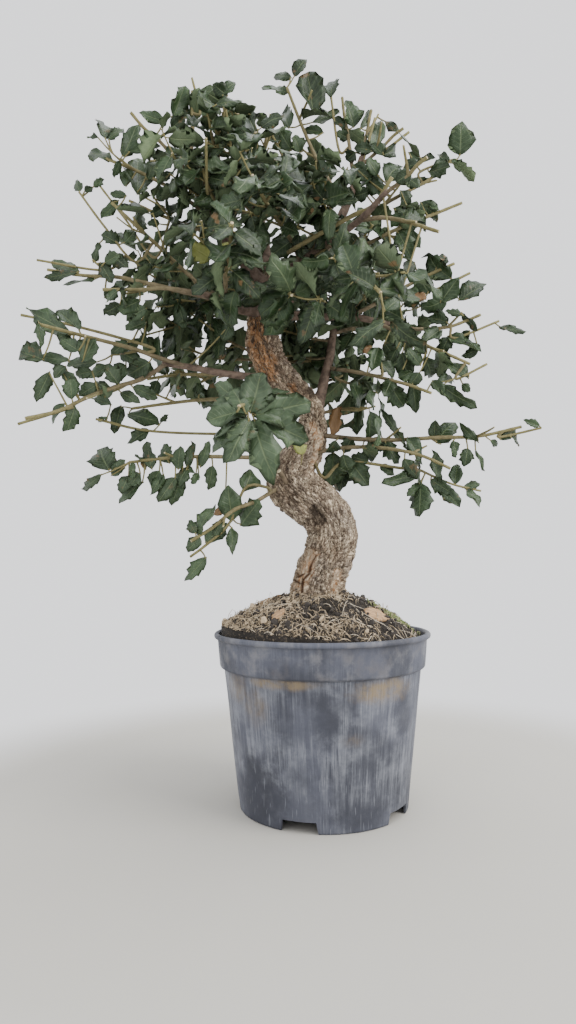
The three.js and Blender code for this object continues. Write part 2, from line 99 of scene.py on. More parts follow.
# Leafy branches: name, wood it grows from, share along that, heading, rise, length, lift,
# and the share of its length that is bare at the end, where a shoot was cut back
BRANCHES = [
    ("left_long", "limb_left", 0.97, 214, -28, 130, 8, 0.3),
    ("left_upper", "limb_left", 0.80, 213, 9, 125, -8, 0.12),
    ("left_mid", "trunk", 0.68, 181, 3, 130, -16, 0),
    ("left_third", "trunk", 0.62, 174, 2, 165, 0, 0),
    ("left_low", "trunk", 0.45, 196, 0, 150, -30, 0),
    ("left_hang", "trunk", 0.41, 216, -28, 122, -16, 0.05),
    ("front_cluster", "trunk", 0.64, 260, -15, 215, 10, 0),
    ("right_low", "trunk", 0.545, 357, 0, 190, 15, 0),
    ("right_lowest", "trunk", 0.47, 352, -4, 140, -40, 0),
    ("right_mid", "limb_right", 0.80, 352, -24, 95, 10, 0.06),
    ("right_out", "limb_right", 1.0, 3, 11, 75, 25, 0),
    ("right_up_a", "limb_right", 0.60, 2, 25, 110, -10, 0.2),
    ("right_up_b", "limb_top_right", 0.35, 356, 23, 150, 5, 0.3),
    ("right_top", "limb_top_right", 0.60, 356, 29, 122, 10, 0),
    ("right_front", "limb_front_right", 0.50, 287, -38, 130, -20, 0),
    ("right_under", "limb_right_rise", 0.50, 335, -18, 105, -20, 0),
    ("right_sprig", "trunk", 0.585, 10, 12, 55, -30, 0),
    ("right_back", "limb_right_rise", 0.85, 30, 12, 105, -10, 0),
    ("top_a", "limb_leader", 0.98, 193, 73, 66, 0, 0.3),
    ("top_b", "limb_leader", 0.80, 300, 62, 66, 0, 0.2),
    ("top_c", "limb_top_right", 0.72, 164, 72, 138, 10, 0),
    ("top_d", "limb_top_right", 0.88, 110, 76, 100, 0, 0),
    ("top_e", "limb_top_right", 0.98, 33, 76, 56, 0, 0.05),
    ("top_f", "limb_top_right", 0.94, 335, 32, 50, -10, 0.3),
    ("top_left_a", "limb_top_left", 0.85, 304, 46, 66, 10, 0),
    ("top_left_b", "limb_top_left", 0.98, 88, 82, 84, 0, 0.12),
    ("top_left_c", "limb_top_left", 0.92, 210, 38, 75, -5, 0.4),
    ("top_left_d", "limb_top_left", 0.62, 178, 30, 118, -10, 0),
    ("left_high_a", "limb_top_left", 0.40, 181, 24, 105, -5, 0.2),
    ("left_high_b", "limb_front_left", 0.45, 188, 40, 135, 5, 0.05),
    ("left_high_c", "limb_front_left", 0.70, 174, 14, 150, -10, 0.15),
    ("left_side", "limb_front_left", 0.92, 190, 0, 75, -10, 0),
    ("front_top", "limb_front_right", 0.30, 250, 14, 105, -10, 0),
    ("front_mid", "limb_front_left", 0.60, 276, 10, 100, 5, 0),
    ("front_low", "trunk", 0.895, 277, -16, 110, -20, 0),
    ("front_right_tip", "limb_front_right", 0.97, 310, 15, 42, 10, 0),
    ("front_right_b", "limb_front_right", 0.78, 336, -24, 95, -30, 0),
    ("inner_left", "limb_top_left", 0.35, 250, 30, 80, 0, 0),
    ("inner_front", "limb_leader", 0.35, 270, 28, 95, 0, 0),
    ("inner_top", "limb_leader", 0.70, 255, 40, 75, 0, 0),
    ("inner_right", "limb_top_right", 0.30, 285, 20, 85, 0, 0),
    ("right_inner", "limb_right_rise", 0.95, 300, 10, 85, -10, 0),
    ("back_left_a", "limb_back_left", 0.96, 150, 18, 80, -10, 0),
    ("back_left_b", "limb_back_left", 0.55, 100, 40, 95, -10, 0.1),
    ("back_left_c", "limb_back_left", 0.35, 172, 8, 105, -10, 0),
    ("back_right_a", "limb_back_right", 0.96, 40, 12, 75, -15, 0),
    ("back_right_b", "limb_back_right", 0.55, 85, 40, 90, -5, 0.15),
    ("back_right_c", "limb_back_right", 0.35, 10, 20, 95, -15, 0),
    ("back_low_a", "limb_back_low", 0.95, 75, -12, 70, -20, 0),
    ("back_low_b", "limb_back_low", 0.55, 140, -5, 105, -15, 0),
    ("back_top", "limb_leader", 0.45, 80, 55, 105, 10, 0.1),
]

# Shoots that only the fine model has, which fill the crown's inner parts: the branch that they
# belong to, wood they grow from, share along that, heading, rise, length
INNER_SHOOTS = [
    ("back_left_c", "limb_back_left", 0.30, 195, -26, 112),
    ("back_left_c", "limb_back_left", 0.15, 205, -12, 84),
    ("back_low_b", "limb_back_low", 0.40, 172, 16, 104),
    ("back_low_b", "limb_back_low", 0.20, 190, 28, 84),
    ("back_low_a", "limb_back_low", 0.55, 38, 14, 96),
    ("back_low_a", "limb_back_low", 0.30, 20, 2, 92),
    ("right_back", "limb_right_rise", 0.35, 60, 20, 70),
    ("right_back", "limb_right_rise", 0.62, 140, 12, 62),
    ("right_under", "limb_right_rise", 0.25, 75, -6, 66),
    ("right_under", "limb_right_rise", 0.45, 20, -14, 58),
    ("right_inner", "limb_right_rise", 0.78, 170, 16, 52),
    ("back_right_a", "limb_back_right", 0.55, 20, -34, 84),
    ("back_right_c", "limb_back_right", 0.30, 340, -22, 84),
    ("back_top", "limb_leader", 0.60, 140, 25, 90),
    ("back_top", "limb_leader", 0.60, 30, 25, 90),
    ("inner_front", "limb_leader", 0.50, 235, 15, 80),
    ("inner_right", "limb_top_right", 0.45, 270, 20, 80),
    ("inner_right", "limb_top_right", 0.60, 250, 5, 74),
    ("inner_left", "limb_top_left", 0.50, 280, 20, 74),
    ("inner_left", "limb_top_left", 0.70, 250, 10, 70),
    ("inner_top", "limb_leader", 0.85, 20, 30, 70),
]

# How thickly a branch is leaved besides its marked leaves, where it isn't 1. Below 0.2 even the
# tufts at its shoots' ends are left to the marked leaves.
FULLNESS = {name: full for full, names in {
    0.0: "front_cluster left_low left_hang right_low",
    0.1: """left_third left_high_b left_high_c right_lowest right_out right_up_a right_up_b right_top
        top_c top_d top_e top_f front_right_b top_left_b top_left_d""",
    0.15: """left_mid left_long left_upper left_side left_high_a right_mid right_under top_b
        front_right_tip top_left_c""",
    0.3: "top_a",
}.items() for name in names.split()}

# Leaves that make the tree's outline or stand out in front: the branch that carries them, then
# where the blade's foot is, where its tip is and how wide it is, seen from the viewer's place in
# a picture 576 wide and 1024 high
MARKED_LEAVES = {
    "left_low": [(109, 471, 97, 446, 27), (102, 474, 77, 494, 10), (111, 476, 125, 460, 13),
        (131, 480, 132, 462, 9), (152, 470, 146, 441, 14), (144, 482, 115, 502, 15),
        (176, 477, 158, 502, 17), (183, 474, 171, 506, 15), (170, 464, 162, 444, 17),
        (178, 470, 180, 446, 15), (188, 470, 191, 441, 10), (199, 472, 192, 485, 8),
        (213, 465, 208, 490, 14), (200, 468, 209, 441, 11), (160, 470, 150, 486, 14),
        (187, 469, 176, 485, 15), (197, 474, 180, 469, 11), (129, 475, 121, 491, 15),
        (141, 473, 130, 486, 15), (146, 470, 138, 452, 10), (164, 474, 150, 492, 12)],
    "left_hang": [(244, 492, 252, 470, 22), (232, 522, 228, 485, 24), (240, 526, 261, 500, 26),
        (232, 527, 233, 553, 12), (205, 543, 227, 523, 20), (198, 537, 208, 502, 15),
        (200, 536, 188, 551, 14), (207, 557, 184, 581, 14), (196, 534, 188, 520, 11),
        (222, 520, 214, 536, 12)],
    "left_third": [(121, 405, 114, 435, 14), (127, 414, 157, 419, 18), (150, 430, 127, 441, 14),
        (160, 424, 168, 413, 6), (108, 418, 96, 421, 6), (112, 405, 90, 398, 12), (200, 382, 198, 394, 8),
        (172, 384, 174, 397, 6), (222, 432, 214, 446, 12)],
    "left_long": [(75, 405, 70, 429, 17), (72, 400, 70, 378, 17), (66, 403, 46, 421, 11),
        (98, 384, 79, 396, 15), (50, 371, 36, 401, 15), (132, 387, 158, 398, 14), (120, 392, 140, 403, 12),
        (105, 398, 96, 378, 15), (119, 385, 104, 365, 19), (93, 371, 75, 375, 13), (66, 366, 54, 378, 13),
        (62, 372, 78, 384, 12)],
    "left_upper": [(44, 360, 21, 352, 23), (71, 336, 32, 309, 20), (38, 321, 41, 348, 9),
        (80, 331, 58, 311, 18), (82, 362, 96, 340, 22), (70, 362, 42, 357, 13), (98, 362, 66, 366, 15),
        (110, 366, 88, 378, 15), (120, 352, 140, 362, 16), (128, 342, 112, 352, 14),
        (140, 345, 146, 330, 13), (147, 308, 127, 318, 15), (147, 322, 126, 331, 17),
        (80, 351, 61, 340, 15), (150, 362, 127, 376, 21), (127, 366, 108, 379, 17),
        (232, 322, 222, 338, 16), (76, 352, 58, 330, 14)],
    "left_high_c": [(80, 272, 48, 259, 13), (78, 272, 45, 279, 11), (96, 279, 62, 284, 11),
        (100, 262, 112, 284, 14), (104, 298, 118, 288, 14), (104, 263, 120, 254, 13)],
    "left_high_b": [(80, 192, 75, 180, 10), (84, 192, 92, 187, 7), (93, 187, 104, 178, 8),
        (127, 196, 110, 194, 9), (119, 200, 102, 219, 11), (119, 245, 102, 233, 15),
        (124, 243, 137, 229, 14), (100, 242, 92, 262, 9), (112, 255, 129, 270, 15),
        (150, 262, 138, 276, 13)],
    "left_high_a": [(137, 230, 147, 214, 14), (160, 224, 148, 222, 9), (156, 200, 171, 188, 14),
        (165, 206, 152, 216, 12), (183, 206, 168, 214, 15), (182, 248, 176, 266, 14)],
    "top_left_d": [(105, 139, 101, 115, 17), (99, 138, 86, 136, 6), (108, 140, 124, 127, 8),
        (113, 160, 82, 145, 14), (122, 157, 138, 127, 17), (128, 152, 160, 143, 11),
        (165, 157, 148, 151, 11), (137, 195, 138, 157, 27), (147, 180, 153, 163, 13),
        (158, 183, 171, 171, 9), (120, 160, 115, 176, 8), (126, 187, 128, 170, 13)],
    "top_left_c": [(165, 122, 139, 113, 13)],
    "top_left_b": [(173, 118, 183, 87, 18), (170, 117, 196, 112, 9), (184, 103, 206, 98, 12),
        (171, 129, 184, 117, 13)],
    "top_left_a": [(228, 96, 213, 84, 15), (222, 94, 235, 80, 12), (197, 98, 213, 88, 10),
        (215, 105, 243, 98, 11)],
    "top_a": [(232, 121, 260, 115, 10)],
    "top_b": [(281, 141, 265, 137, 13), (246, 126, 230, 142, 13), (292, 151, 280, 131, 19)],
    "top_c": [(294, 77, 304, 57, 14), (292, 78, 270, 72, 10), (289, 93, 261, 84, 13),
        (313, 114, 308, 75, 27), (289, 129, 280, 102, 17), (311, 123, 341, 110, 9),
        (324, 133, 306, 130, 10), (300, 153, 295, 134, 15)],
    "top_d": [(331, 98, 333, 76, 16), (354, 128, 347, 99, 21), (350, 139, 337, 132, 11),
        (326, 92, 318, 80, 8), (332, 118, 344, 130, 12)],
    "top_e": [(360, 129, 375, 108, 9), (374, 153, 378, 118, 18), (385, 121, 400, 134, 9),
        (373, 151, 355, 146, 13), (356, 152, 346, 160, 13)],
    "top_f": [(383, 155, 400, 147, 12), (373, 169, 360, 187, 17), (385, 157, 372, 142, 13)],
    "right_top": [(460, 156, 462, 121, 25), (450, 161, 437, 153, 8), (450, 163, 459, 165, 8),
        (428, 172, 450, 167, 17), (412, 180, 432, 182, 8), (403, 168, 436, 160, 12),
        (385, 182, 399, 161, 21), (378, 176, 368, 158, 16), (352, 172, 340, 186, 13),
        (366, 178, 385, 193, 19), (352, 165, 373, 181, 15), (369, 192, 352, 197, 15),
        (408, 152, 420, 164, 9)],
    "right_up_b": [(420, 202, 438, 216, 15), (393, 208, 421, 218, 11), (400, 190, 408, 208, 15),
        (412, 230, 420, 248, 9), (398, 232, 412, 256, 20), (432, 212, 437, 222, 6), (440, 211, 424, 202, 9),
        (404, 214, 392, 224, 13)],
    "right_up_a": [(452, 279, 421, 257, 20), (430, 294, 417, 275, 19), (440, 303, 459, 277, 19),
        (458, 301, 487, 282, 20), (424, 300, 404, 306, 14), (447, 298, 425, 312, 19),
        (415, 262, 402, 275, 15), (436, 268, 446, 254, 12)],
    "right_out": [(498, 326, 525, 334, 9), (478, 331, 462, 313, 9), (464, 316, 446, 309, 8),
        (447, 336, 481, 353, 15), (470, 330, 462, 344, 11), (447, 322, 427, 316, 15),
        (440, 330, 423, 343, 17), (450, 336, 440, 352, 15), (479, 350, 461, 356, 11)],
    "right_mid": [(469, 379, 447, 358, 15), (440, 384, 474, 410, 15), (462, 383, 470, 392, 9),
        (436, 383, 457, 377, 12), (425, 356, 434, 379, 16), (410, 340, 428, 352, 15),
        (402, 352, 408, 379, 21), (397, 348, 386, 369, 17), (421, 366, 407, 348, 15),
        (384, 342, 395, 357, 15), (420, 372, 410, 386, 14), (398, 378, 412, 372, 13)],
    "right_under": [(413, 381, 417, 413, 16), (390, 385, 404, 407, 20), (432, 380, 444, 396, 12),
        (358, 388, 360, 433, 16), (380, 361, 394, 377, 15), (379, 347, 372, 371, 17),
        (393, 378, 384, 397, 17)],
    "right_low": [(436, 443, 452, 419, 23), (479, 443, 459, 424, 10), (453, 440, 458, 455, 11),
        (468, 448, 465, 465, 14), (475, 449, 486, 468, 5), (490, 440, 500, 447, 7),
        (500, 440, 515, 430, 10), (511, 437, 522, 444, 10), (540, 426, 524, 420, 8),
        (400, 437, 382, 408, 9), (382, 437, 369, 418, 7), (407, 437, 424, 460, 16),
        (378, 436, 372, 456, 15), (385, 442, 399, 463, 17), (352, 438, 344, 452, 14),
        (362, 445, 375, 461, 15), (434, 441, 435, 420, 13), (336, 440, 328, 454, 14),
        (388, 440, 380, 452, 13), (416, 440, 410, 456, 12)],
    "right_lowest": [(345, 462, 340, 492, 26), (352, 463, 368, 485, 21), (419, 474, 382, 483, 13),
        (380, 465, 394, 475, 12), (404, 458, 416, 478, 15), (421, 482, 420, 517, 25),
        (420, 483, 408, 496, 10), (437, 484, 436, 450, 13), (430, 479, 452, 493, 16),
        (443, 488, 460, 508, 15), (455, 485, 457, 463, 14), (463, 488, 480, 483, 9),
        (466, 490, 480, 507, 13), (330, 470, 328, 488, 14), (334, 452, 330, 488, 24),
        (343, 454, 348, 474, 18), (369, 462, 351, 456, 13)],
    "front_cluster": [(250, 414, 262, 374, 34), (252, 416, 310, 402, 34), (248, 415, 210, 404, 30),
        (250, 418, 216, 456, 30), (254, 418, 268, 478, 33), (256, 417, 308, 441, 32),
        (246, 414, 232, 384, 26), (249, 417, 238, 446, 28), (247, 416, 209, 427, 28),
        (250, 419, 226, 462, 27), (252, 412, 284, 384, 26), (236, 398, 215, 383, 17),
        (238, 412, 207, 421, 25)],
    "front_low": [(292, 285, 261, 316, 27)],
    "front_top": [(251, 215, 263, 253, 25), (222, 204, 217, 234, 20), (293, 240, 271, 255, 21)],
    "front_right_tip": [(404, 320, 372, 300, 18), (412, 172, 396, 182, 15), (404, 176, 420, 186, 13)],
    "front_right_b": [(390, 320, 424, 352, 18), (388, 300, 420, 292, 16)],
    "right_front": [(385, 322, 352, 338, 18), (384, 312, 400, 296, 16)],
    "right_back": [(353, 332, 343, 353, 19), (366, 335, 358, 354, 15)],
    "left_side": [(118, 290, 104, 300, 13), (141, 300, 118, 311, 17), (121, 304, 104, 314, 13)],
    "left_mid": [(158, 380, 152, 394, 12), (155, 377, 140, 362, 15)],
    "inner_left": [(188, 196, 178, 210, 13)],
}

# How many sixtieths of a branch's stem are left, where it is cut back to its leaves
CUT_BACK = {"front_cluster": 49, "front_right_b": 43}

# How pale and greyish a branch's leaves are, from 0 to 1, where it isn't 0
SAGE = {
    "front_cluster": 0.8, "left_low": 0.5, "left_hang": 0.5, "left_upper": 0.4, "left_long": 0.4,
    "right_lowest": 0.25,
}

# Marked leaves that are young and yellow-green
YOUNG_LEAVES = {
    "front_mid": [(212, 259, 190, 247, 22), (213, 255, 232, 243, 11), (211, 250, 203, 240, 9)],
    "left_hang": [(303, 455, 297, 440, 13)],
}

# Marked leaves that are dead and brown
DEAD_LEAVES = {
    "right_low": [(331, 436, 342, 408, 14)],
    "right_under": [(372, 346, 364, 352, 8)],
    "right_up_a": [(413, 296, 427, 297, 9)],
    "left_low": [(225, 508, 214, 514, 9)],
}

# Shoots seen at given places: the branch that carries them, how far they come forward in mm,
# their radius in mm and their places in the picture. Each ends in a flat cut.
MARKED_SHOOTS = {
    "top_b": [(0, 1.4, [(250, 158), (240, 122), (238, 106)]),
        (0, 1.4, [(285, 165), (272, 135), (262, 114)])],
    "top_left_b": [(0, 1.3, [(200, 112), (192, 78)])],
    "top_f": [(0, 1.5, [(385, 150), (409, 132)])],
    "top_e": [(0, 1.4, [(362, 165), (375, 118)])],
    "top_d": [(0, 1.3, [(339, 150), (331, 97)])],
    "front_top": [(55, 2.0, [(292, 250), (350, 217), (374, 205), (392, 177)]),
        (50, 1.5, [(315, 257), (352, 224)])],
    "inner_front": [(45, 1.4, [(224, 206), (219, 160), (215, 118)]),
        (50, 1.3, [(234, 200), (231, 150), (225, 104)])],
    "inner_left": [(40, 1.3, [(207, 190), (206, 138)])],
    "right_up_a": [(0, 1.5, [(433, 290), (470, 273)])],
    "right_out": [(0, 1.3, [(455, 338), (499, 321)])],
    "right_mid": [(0, 1.3, [(456, 379), (487, 364)])],
    "left_third": [(0, 1.4, [(262, 432), (228, 434), (150, 431), (96, 419)])],
    "left_long": [(0, 1.4, [(70, 408), (18, 424)])],
    "left_upper": [(0, 1.4, [(150, 347), (75, 326), (21, 315)])],
    "left_high_b": [(0, 1.2, [(135, 262), (104, 226), (79, 192)]), (0, 1.2, [(104, 270), (37, 260)])],
    "left_high_a": [(0, 1.2, [(155, 258), (126, 220), (100, 186)]), (0, 1.1, [(170, 212), (137, 193)])],
    "left_hang": [(8, 1.4, [(266, 487), (245, 488), (229, 524), (206, 545), (190, 557)])],
    "left_low": [(32, 2.7, [(294, 492), (279, 471)])],
    "right_low": [(0, 1.3, [(500, 437), (541, 428)])],
    "right_lowest": [(0, 1.6, [(324, 478), (345, 462), (400, 468), (420, 470)]),
        (0, 1.2, [(420, 470), (437, 478), (455, 485), (481, 491)])],
    "right_top": [(0, 1.2, [(420, 172), (452, 160), (458, 163)])],
}

# How far the fine trunk's centre line leans to the right, in mm, at some heights
TRUNK_LEAN = ([180, 200, 218, 235, 250, 263, 276, 292], [1, 2.5, 3, 0.5, -4, -5.5, -4.5, -1])

# Marks on the trunk's front: the value that they raise, their reach and the line they follow,
# both in the viewer's picture
TRUNK_MARKS = [
    ("scar", 11, [(259, 322), (257, 345), (268, 372)]), ("scar", 4, [(292, 385), (300, 405)]),
    # The shade marks are painted shade: darker bark where the trunk lies in shade, on its upper left and
    # below a branch
    ("shade", 9, [(277, 322), (283, 350), (292, 378), (304, 398)]),
    ("shade", 9, [(277, 462), (279, 480), (291, 502)]),
    ("pale", 4.5, [(312, 425), (320, 440), (315, 464)]), ("pale", 6, [(312, 556), (299, 590)]),
    ("pale", 4, [(338, 572), (334, 592)]),
    ("crack", 1.3, [(316, 556), (311, 566), (309, 574), (303, 580), (302, 592)]),
    ("crack", 1.0, [(304, 574), (297, 578)]), ("crack", 1.0, [(301, 584), (294, 580)]),
    ("knot", 6.5, [(315, 509), (323, 519)]), ("knot", 4, [(309, 390), (313, 394)]),
]

# Wood and shoots, in mm
STEPS = 5  # straight stretches in a limb or a branch
WANDER = 14  # degrees that a stretch strays from its course
BARK_RELIEF = 0.07  # ribs of cork, as a share of the trunk's radius
TWIG_LENGTH = 52
TWIG_EVERY = 70  # one side twig for this length of branch
STEEP = 50  # degrees of rise past which the twigs stand all round a branch
GOLDEN = 137.5  # degrees from one twig to the next round a steep branch
SPRIG_EVERY = 20.6  # one short leafy sprig for this length of shoot
SPRIG_LENGTH = 24
CUT_STEPS = 60  # of a stem that CUT_BACK counts
SPARSE = 0.2  # fullness below which side twigs are cut back and tufts left to the marked leaves
TWIG_CLEAR = 4  # that shoots and marked leaves keep from the trunk's bark
SCAR_EVERY = 9  # one swollen leaf scar for this length of shoot

# Side twigs, inner shoots and sprigs: radius where one starts and ends, sides, rows, and how
# young it is where it starts and ends
TWIG_SHAPE = (1.3, 0.8, 6, 16, (0.6, 1))
INNER_SHAPE = (1.5, 0.8, 6, 20, (0.2, 1))
SPRIG_SHAPE = (0.85, 0.6, 5, 8, (0.8, 1))

# The trunk's and limbs' surfaces, in mm
TRUNK_ROWS = 430
TRUNK_COLUMNS = 170
TRUNK_INSET = 1.6  # of the fine trunk's middle surface, which leaves room for its relief
LIMB_ROWS = 60
LIMB_SIDES = 12
LIMB_SLIMNESS = 0.88  # of the fine limbs' radius to that of the solid ones

# Leaves, in mm
TUFT_STEP = 16  # one tuft of three leaves for this length of shoot
STALK = 2.4  # from a shoot's middle to where a tuft's blades part
CROWN = np.array([-30.0, 0.0, 470.0])  # the middle of the crown, which leaves face away from
DENSE = np.array([-36.0, 0.0, 490.0])  # the middle of the dense part
DENSE_REACH = np.array([135.0, 120.0, 92.0])
SMALL_LEAVES = 0.86  # the crown's leaves are smaller than those of the lower branches
LEAF_CLEAR = 2  # that a leaf keeps from the trunk's bark
LEAF_DEPTHS = (0, -20, 24, -34, 38)  # behind its shoot, where a marked leaf is tried in turn
BARK_SLOT, CUT_SLOT, UPPER_SLOT, LOWER_SLOT = range(4)
BLADE_ROWS = np.array([0.08, 0.19, 0.31, 0.42, 0.55, 0.65, 0.77, 0.87])  # shares of the length
BLADE_TEETH = np.array([-0.3, 1.0, -0.8, 1.0, -0.9, 1.0, -0.8, 1.1])  # a tooth or a bay at each row
BLADE_ACROSS = np.array([-1, -0.5, 0, 0.5, 1, 0.5, 0, -0.5])  # over the top, back under the blade
BLADE_SIDE = np.array([0, 0.75, 1, 0.75, 0, -0.75, -1, -0.75])  # share of the half thickness

# Pot, in mm
NOTCH_COUNT = 5  # notches in the foot, and drain holes in the floor
NOTCH_FIRST = 252  # degrees round the pot, the notch left of the front
NOTCH_HALF = 11.8  # degrees
NOTCH_HEIGHT = 9
DRAIN_RADIUS = 5
DRAIN_CIRCLE = 58
FLOOR_UNDER = 9.5
FLOOR_TOP = 11.5
FLOOR_RING = 40  # a ring of the floor; the wall and its foot stand outside it
WALL_INSET = 8.6  # of the wall's top from the lip's edge

# The pot's profile: heights on the wall's outside and inside, and the collar and the lip as
# distance inside the lip's edge and height
OUTER_HEIGHTS = (0, 0.5, 2, 4, 6.5, 9, 12, 18, 26, 36, 48, 60, 72, 84, 95, 104, 111, 115, 117.4)
INNER_HEIGHTS = (100, 80, 60, 40, 25, 14, 11.9)
COLLAR_PROFILE = [
    (7.4, 118.3), (6.0, 118.9), (5.35, 119.6), (5.1, 120.6), (4.6, 126), (4.0, 133), (3.5, 139), (3.2, 142.2),
    (2.6, 143.1), (1.2, 143.5), (0.3, 144.2), (0, 145.3), (0.1, 146.5), (0.8, 147.5), (1.9, 148),
    (3.2, 147.9), (4.3, 147.2), (4.9, 145.5), (5.3, 139), (6.2, 126), (6.8, 121.5), (7.6, 119.6),
    (9.6, 118.2), (10.2, 116.5),
]

# Marks on the pot: middle, half width and half height in metres, and strength
WORN_MARKS = [
    ((-0.001, -0.086, 0.086), 0.012, 0.026, 0.75), ((0.064, -0.056, 0.086), 0.014, 0.026, 0.7),
    ((-0.055, -0.052, 0.020), 0.030, 0.034, 1.0), ((-0.034, -0.075, 0.088), 0.008, 0.02, 0.35),
    ((0.03, -0.07, 0.012), 0.03, 0.01, 0.5),
]
STAIN_MARKS = [
    ((-0.036, -0.078, 0.115), 0.036, 0.005, 0.9), ((0.045, -0.072, 0.108), 0.03, 0.010, 0.9),
    ((-0.058, -0.063, 0.095), 0.014, 0.016, 0.45), ((0.02, -0.082, 0.071), 0.012, 0.006, 0.25),
    ((-0.075, -0.045, 0.106), 0.02, 0.012, 0.5),
]

# Soil, in mm
SOIL_TOP = 183
SOIL_RIM = 146
SOIL_LEAN = 7
SOIL_FLOOR = 11.9
SOIL_COLUMNS = 220
MOUND_ROWS = 74
MOUND_RADIUS = 89
FIBRE_REACH = 88.3  # of a fibre's points from the middle of the mound
CRUMB_SIZE = 5.5  # across a lump of the mound, and from its foot to its top
ROOT_COUNT = 150
MOSS_COUNT = 420
MOSS_MIDDLE = (62, -16)
RIM_FIBRE_COUNT = 90
RIM_FIBRE_CIRCLE = 84

# Bark flakes: name, node, place x and y, length, width, turn, seed, tone
FLAKES = [
    ("flake_right", "bark_flake_right", 44, -42, 24, 15, 40, 1, 0.9),
    ("flake_left", "bark_flake_left", -42, 6, 26, 13, 15, 2, 0.35),
    ("flake_front", "bark_flake_front", -38, -52, 15, 10, 70, 3, 0.7),
]
FLAKE_SIDES = 36
FLAKE_CORNERS = 9

# Soft lights: name, place and width in metres, share of the key light's power and colour
LIGHTS = [
    ("window", (1.3, -0.7, 1.1), 1.1, 1, (1, 0.98, 0.94)),
    ("ceiling", (0.3, 0.1, 1.9), 1.2, 0.55, (0.95, 0.97, 1)),
    ("fill", (-0.8, -1.3, 1.0), 1.0, 0.1, (0.97, 0.98, 1)),
]
LIGHT_AIM = (0, 0, 0.3)
FLOOR_SIDES = 96
FLOOR_DROP = 0.3  # mm from the pot's foot down to the floor


# Repeatable chance

def draw(branch, item, use):
    """A repeatable number from 0 to 1: the fraction of a large sine of three whole numbers."""
    wave = np.sin(branch * 12.9898 + item * 78.233 + use * 37.719) * 43758.5453
    return wave - np.floor(wave)


def lattice_chance(cells, use):
    """One number from 0 to 1 for each whole-number place in space, as draw() gives."""
    wave = np.sin(cells @ np.array([127.1, 311.7, 74.7]) + use * 53.37) * 43758.5453
    return wave - np.floor(wave)


def soft_noise(places, use=0):
    """Smooth noise from 0 to 1: each place blends the chances at its cell's eight corners."""
    cells = np.floor(places)
    inside = places - cells
    inside = inside * inside * (3 - 2 * inside)
    total = 0
    for corner in np.ndindex(2, 2, 2):
        weight = np.prod(np.where(corner, inside, 1 - inside), axis=-1)
        total = total + weight * lattice_chance(cells + corner, use)
    return total


def layered_noise(places, layers, use=0):
    """Soft noise summed at doubling scales, each half as strong as the one before."""
    total = sum(soft_noise(places * 2 ** k, use + k) / 2 ** k for k in range(layers))
    return total / (2 - 2.0 ** (1 - layers))


def plates(places, use=0):
    """Cracked plates: how much nearer the nearest scattered seed is than the second nearest,
    0 in a crack, and the chance of the nearest seed's plate."""
    cells = np.floor(places)
    near = np.full(places.shape[:-1], 9.0)
    second = near.copy()
    chance = np.zeros_like(near)
    for step in np.ndindex(3, 3, 3):
        cell = cells + step - 1
        seed = cell + np.stack([lattice_chance(cell, use + k) for k in range(3)], axis=-1)
        gap = np.linalg.norm(seed - places, axis=-1)
        nearer = gap < near
        second = np.where(nearer, near, np.minimum(second, gap))
        chance = np.where(nearer, lattice_chance(cell, use + 5), chance)
        near = np.where(nearer, gap, near)
    return second - near, chance


# Directions and paths

def unit(vectors):
    """Vectors of length 1 in the same directions."""
    return vectors / np.maximum(np.linalg.norm(vectors, axis=-1, keepdims=True), 1e-9)


def across_from(vectors, along):
    """What is left of each vector square to along, at length 1."""
    return unit(vectors - along * np.sum(vectors * along, axis=-1, keepdims=True))


def direction(heading, rise):
    """A unit vector at a heading round +Z and a rise above level, both in degrees."""
    heading, rise = math.radians(heading), math.radians(rise)
    level = math.cos(rise)
    return np.array([math.cos(heading) * level, math.sin(heading) * level, math.sin(rise)])


def course(start, heading, rise, length, lift, seed, steps=STEPS):
    """A wandering path: straight stretches whose rise changes by lift from start to end."""
    points = [np.asarray(start, float)]
    for i in range(steps):
        share = (i + 0.5) / steps - 0.5
        stray = WANDER * (draw(seed, i, 1) - 0.5)
        climb = WANDER * (draw(seed, i, 2) - 0.5)
        points.append(points[-1] + direction(heading + stray, rise + lift * share + climb) * length / steps)
    return np.array(points)


def length_of(points):
    """The length of a path of straight stretches."""
    return float(np.linalg.norm(np.diff(points, axis=0), axis=1).sum())


def place_on(points, share):
    """The point at a share of a path's length, and the path's direction there."""
    lengths = np.linalg.norm(np.diff(points, axis=0), axis=1)
    left = share * lengths.sum()
    i = 0
    while i < len(lengths) - 1 and left > lengths[i]:
        left -= lengths[i]
        i += 1
    along = unit(points[i + 1] - points[i])
    return points[i] + along * left, along


def smooth_path(points, count):
    """A Catmull-Rom curve through the points, at count even steps of its parameter."""
    points = np.asarray(points, float)
    ends = 2 * points[[0, -1]] - points[[1, -2]]
    held = np.vstack([ends[:1], points, ends[1:]])
    t = np.linspace(0, len(points) - 1, count)
    i = np.minimum(t.astype(int), len(points) - 2)
    f = (t - i)[:, None]
    a, b, c, d = held[i], held[i + 1], held[i + 2], held[i + 3]
    return 0.5 * (2 * b + (c - a) * f + (2 * a - 5 * b + 4 * c - d) * f ** 2
                  + (3 * b - a - 3 * c + d) * f ** 3)


def carried_frames(paths):
    """For paths (n, s, 3): the direction along each and two square to it. The first of these is
    carried from station to station, less its part along the path, so the frame doesn't twist."""
    along = unit(np.gradient(paths, axis=1))
    side = np.empty_like(paths)
    steep = np.abs(along[:, 0, 2:3]) > 0.9
    carried = np.where(steep, RIGHT, UP)
    for station in range(paths.shape[1]):
        carried = across_from(carried, along[:, station])
        side[:, station] = carried
    return along, side, np.cross(along, side)


# The viewer

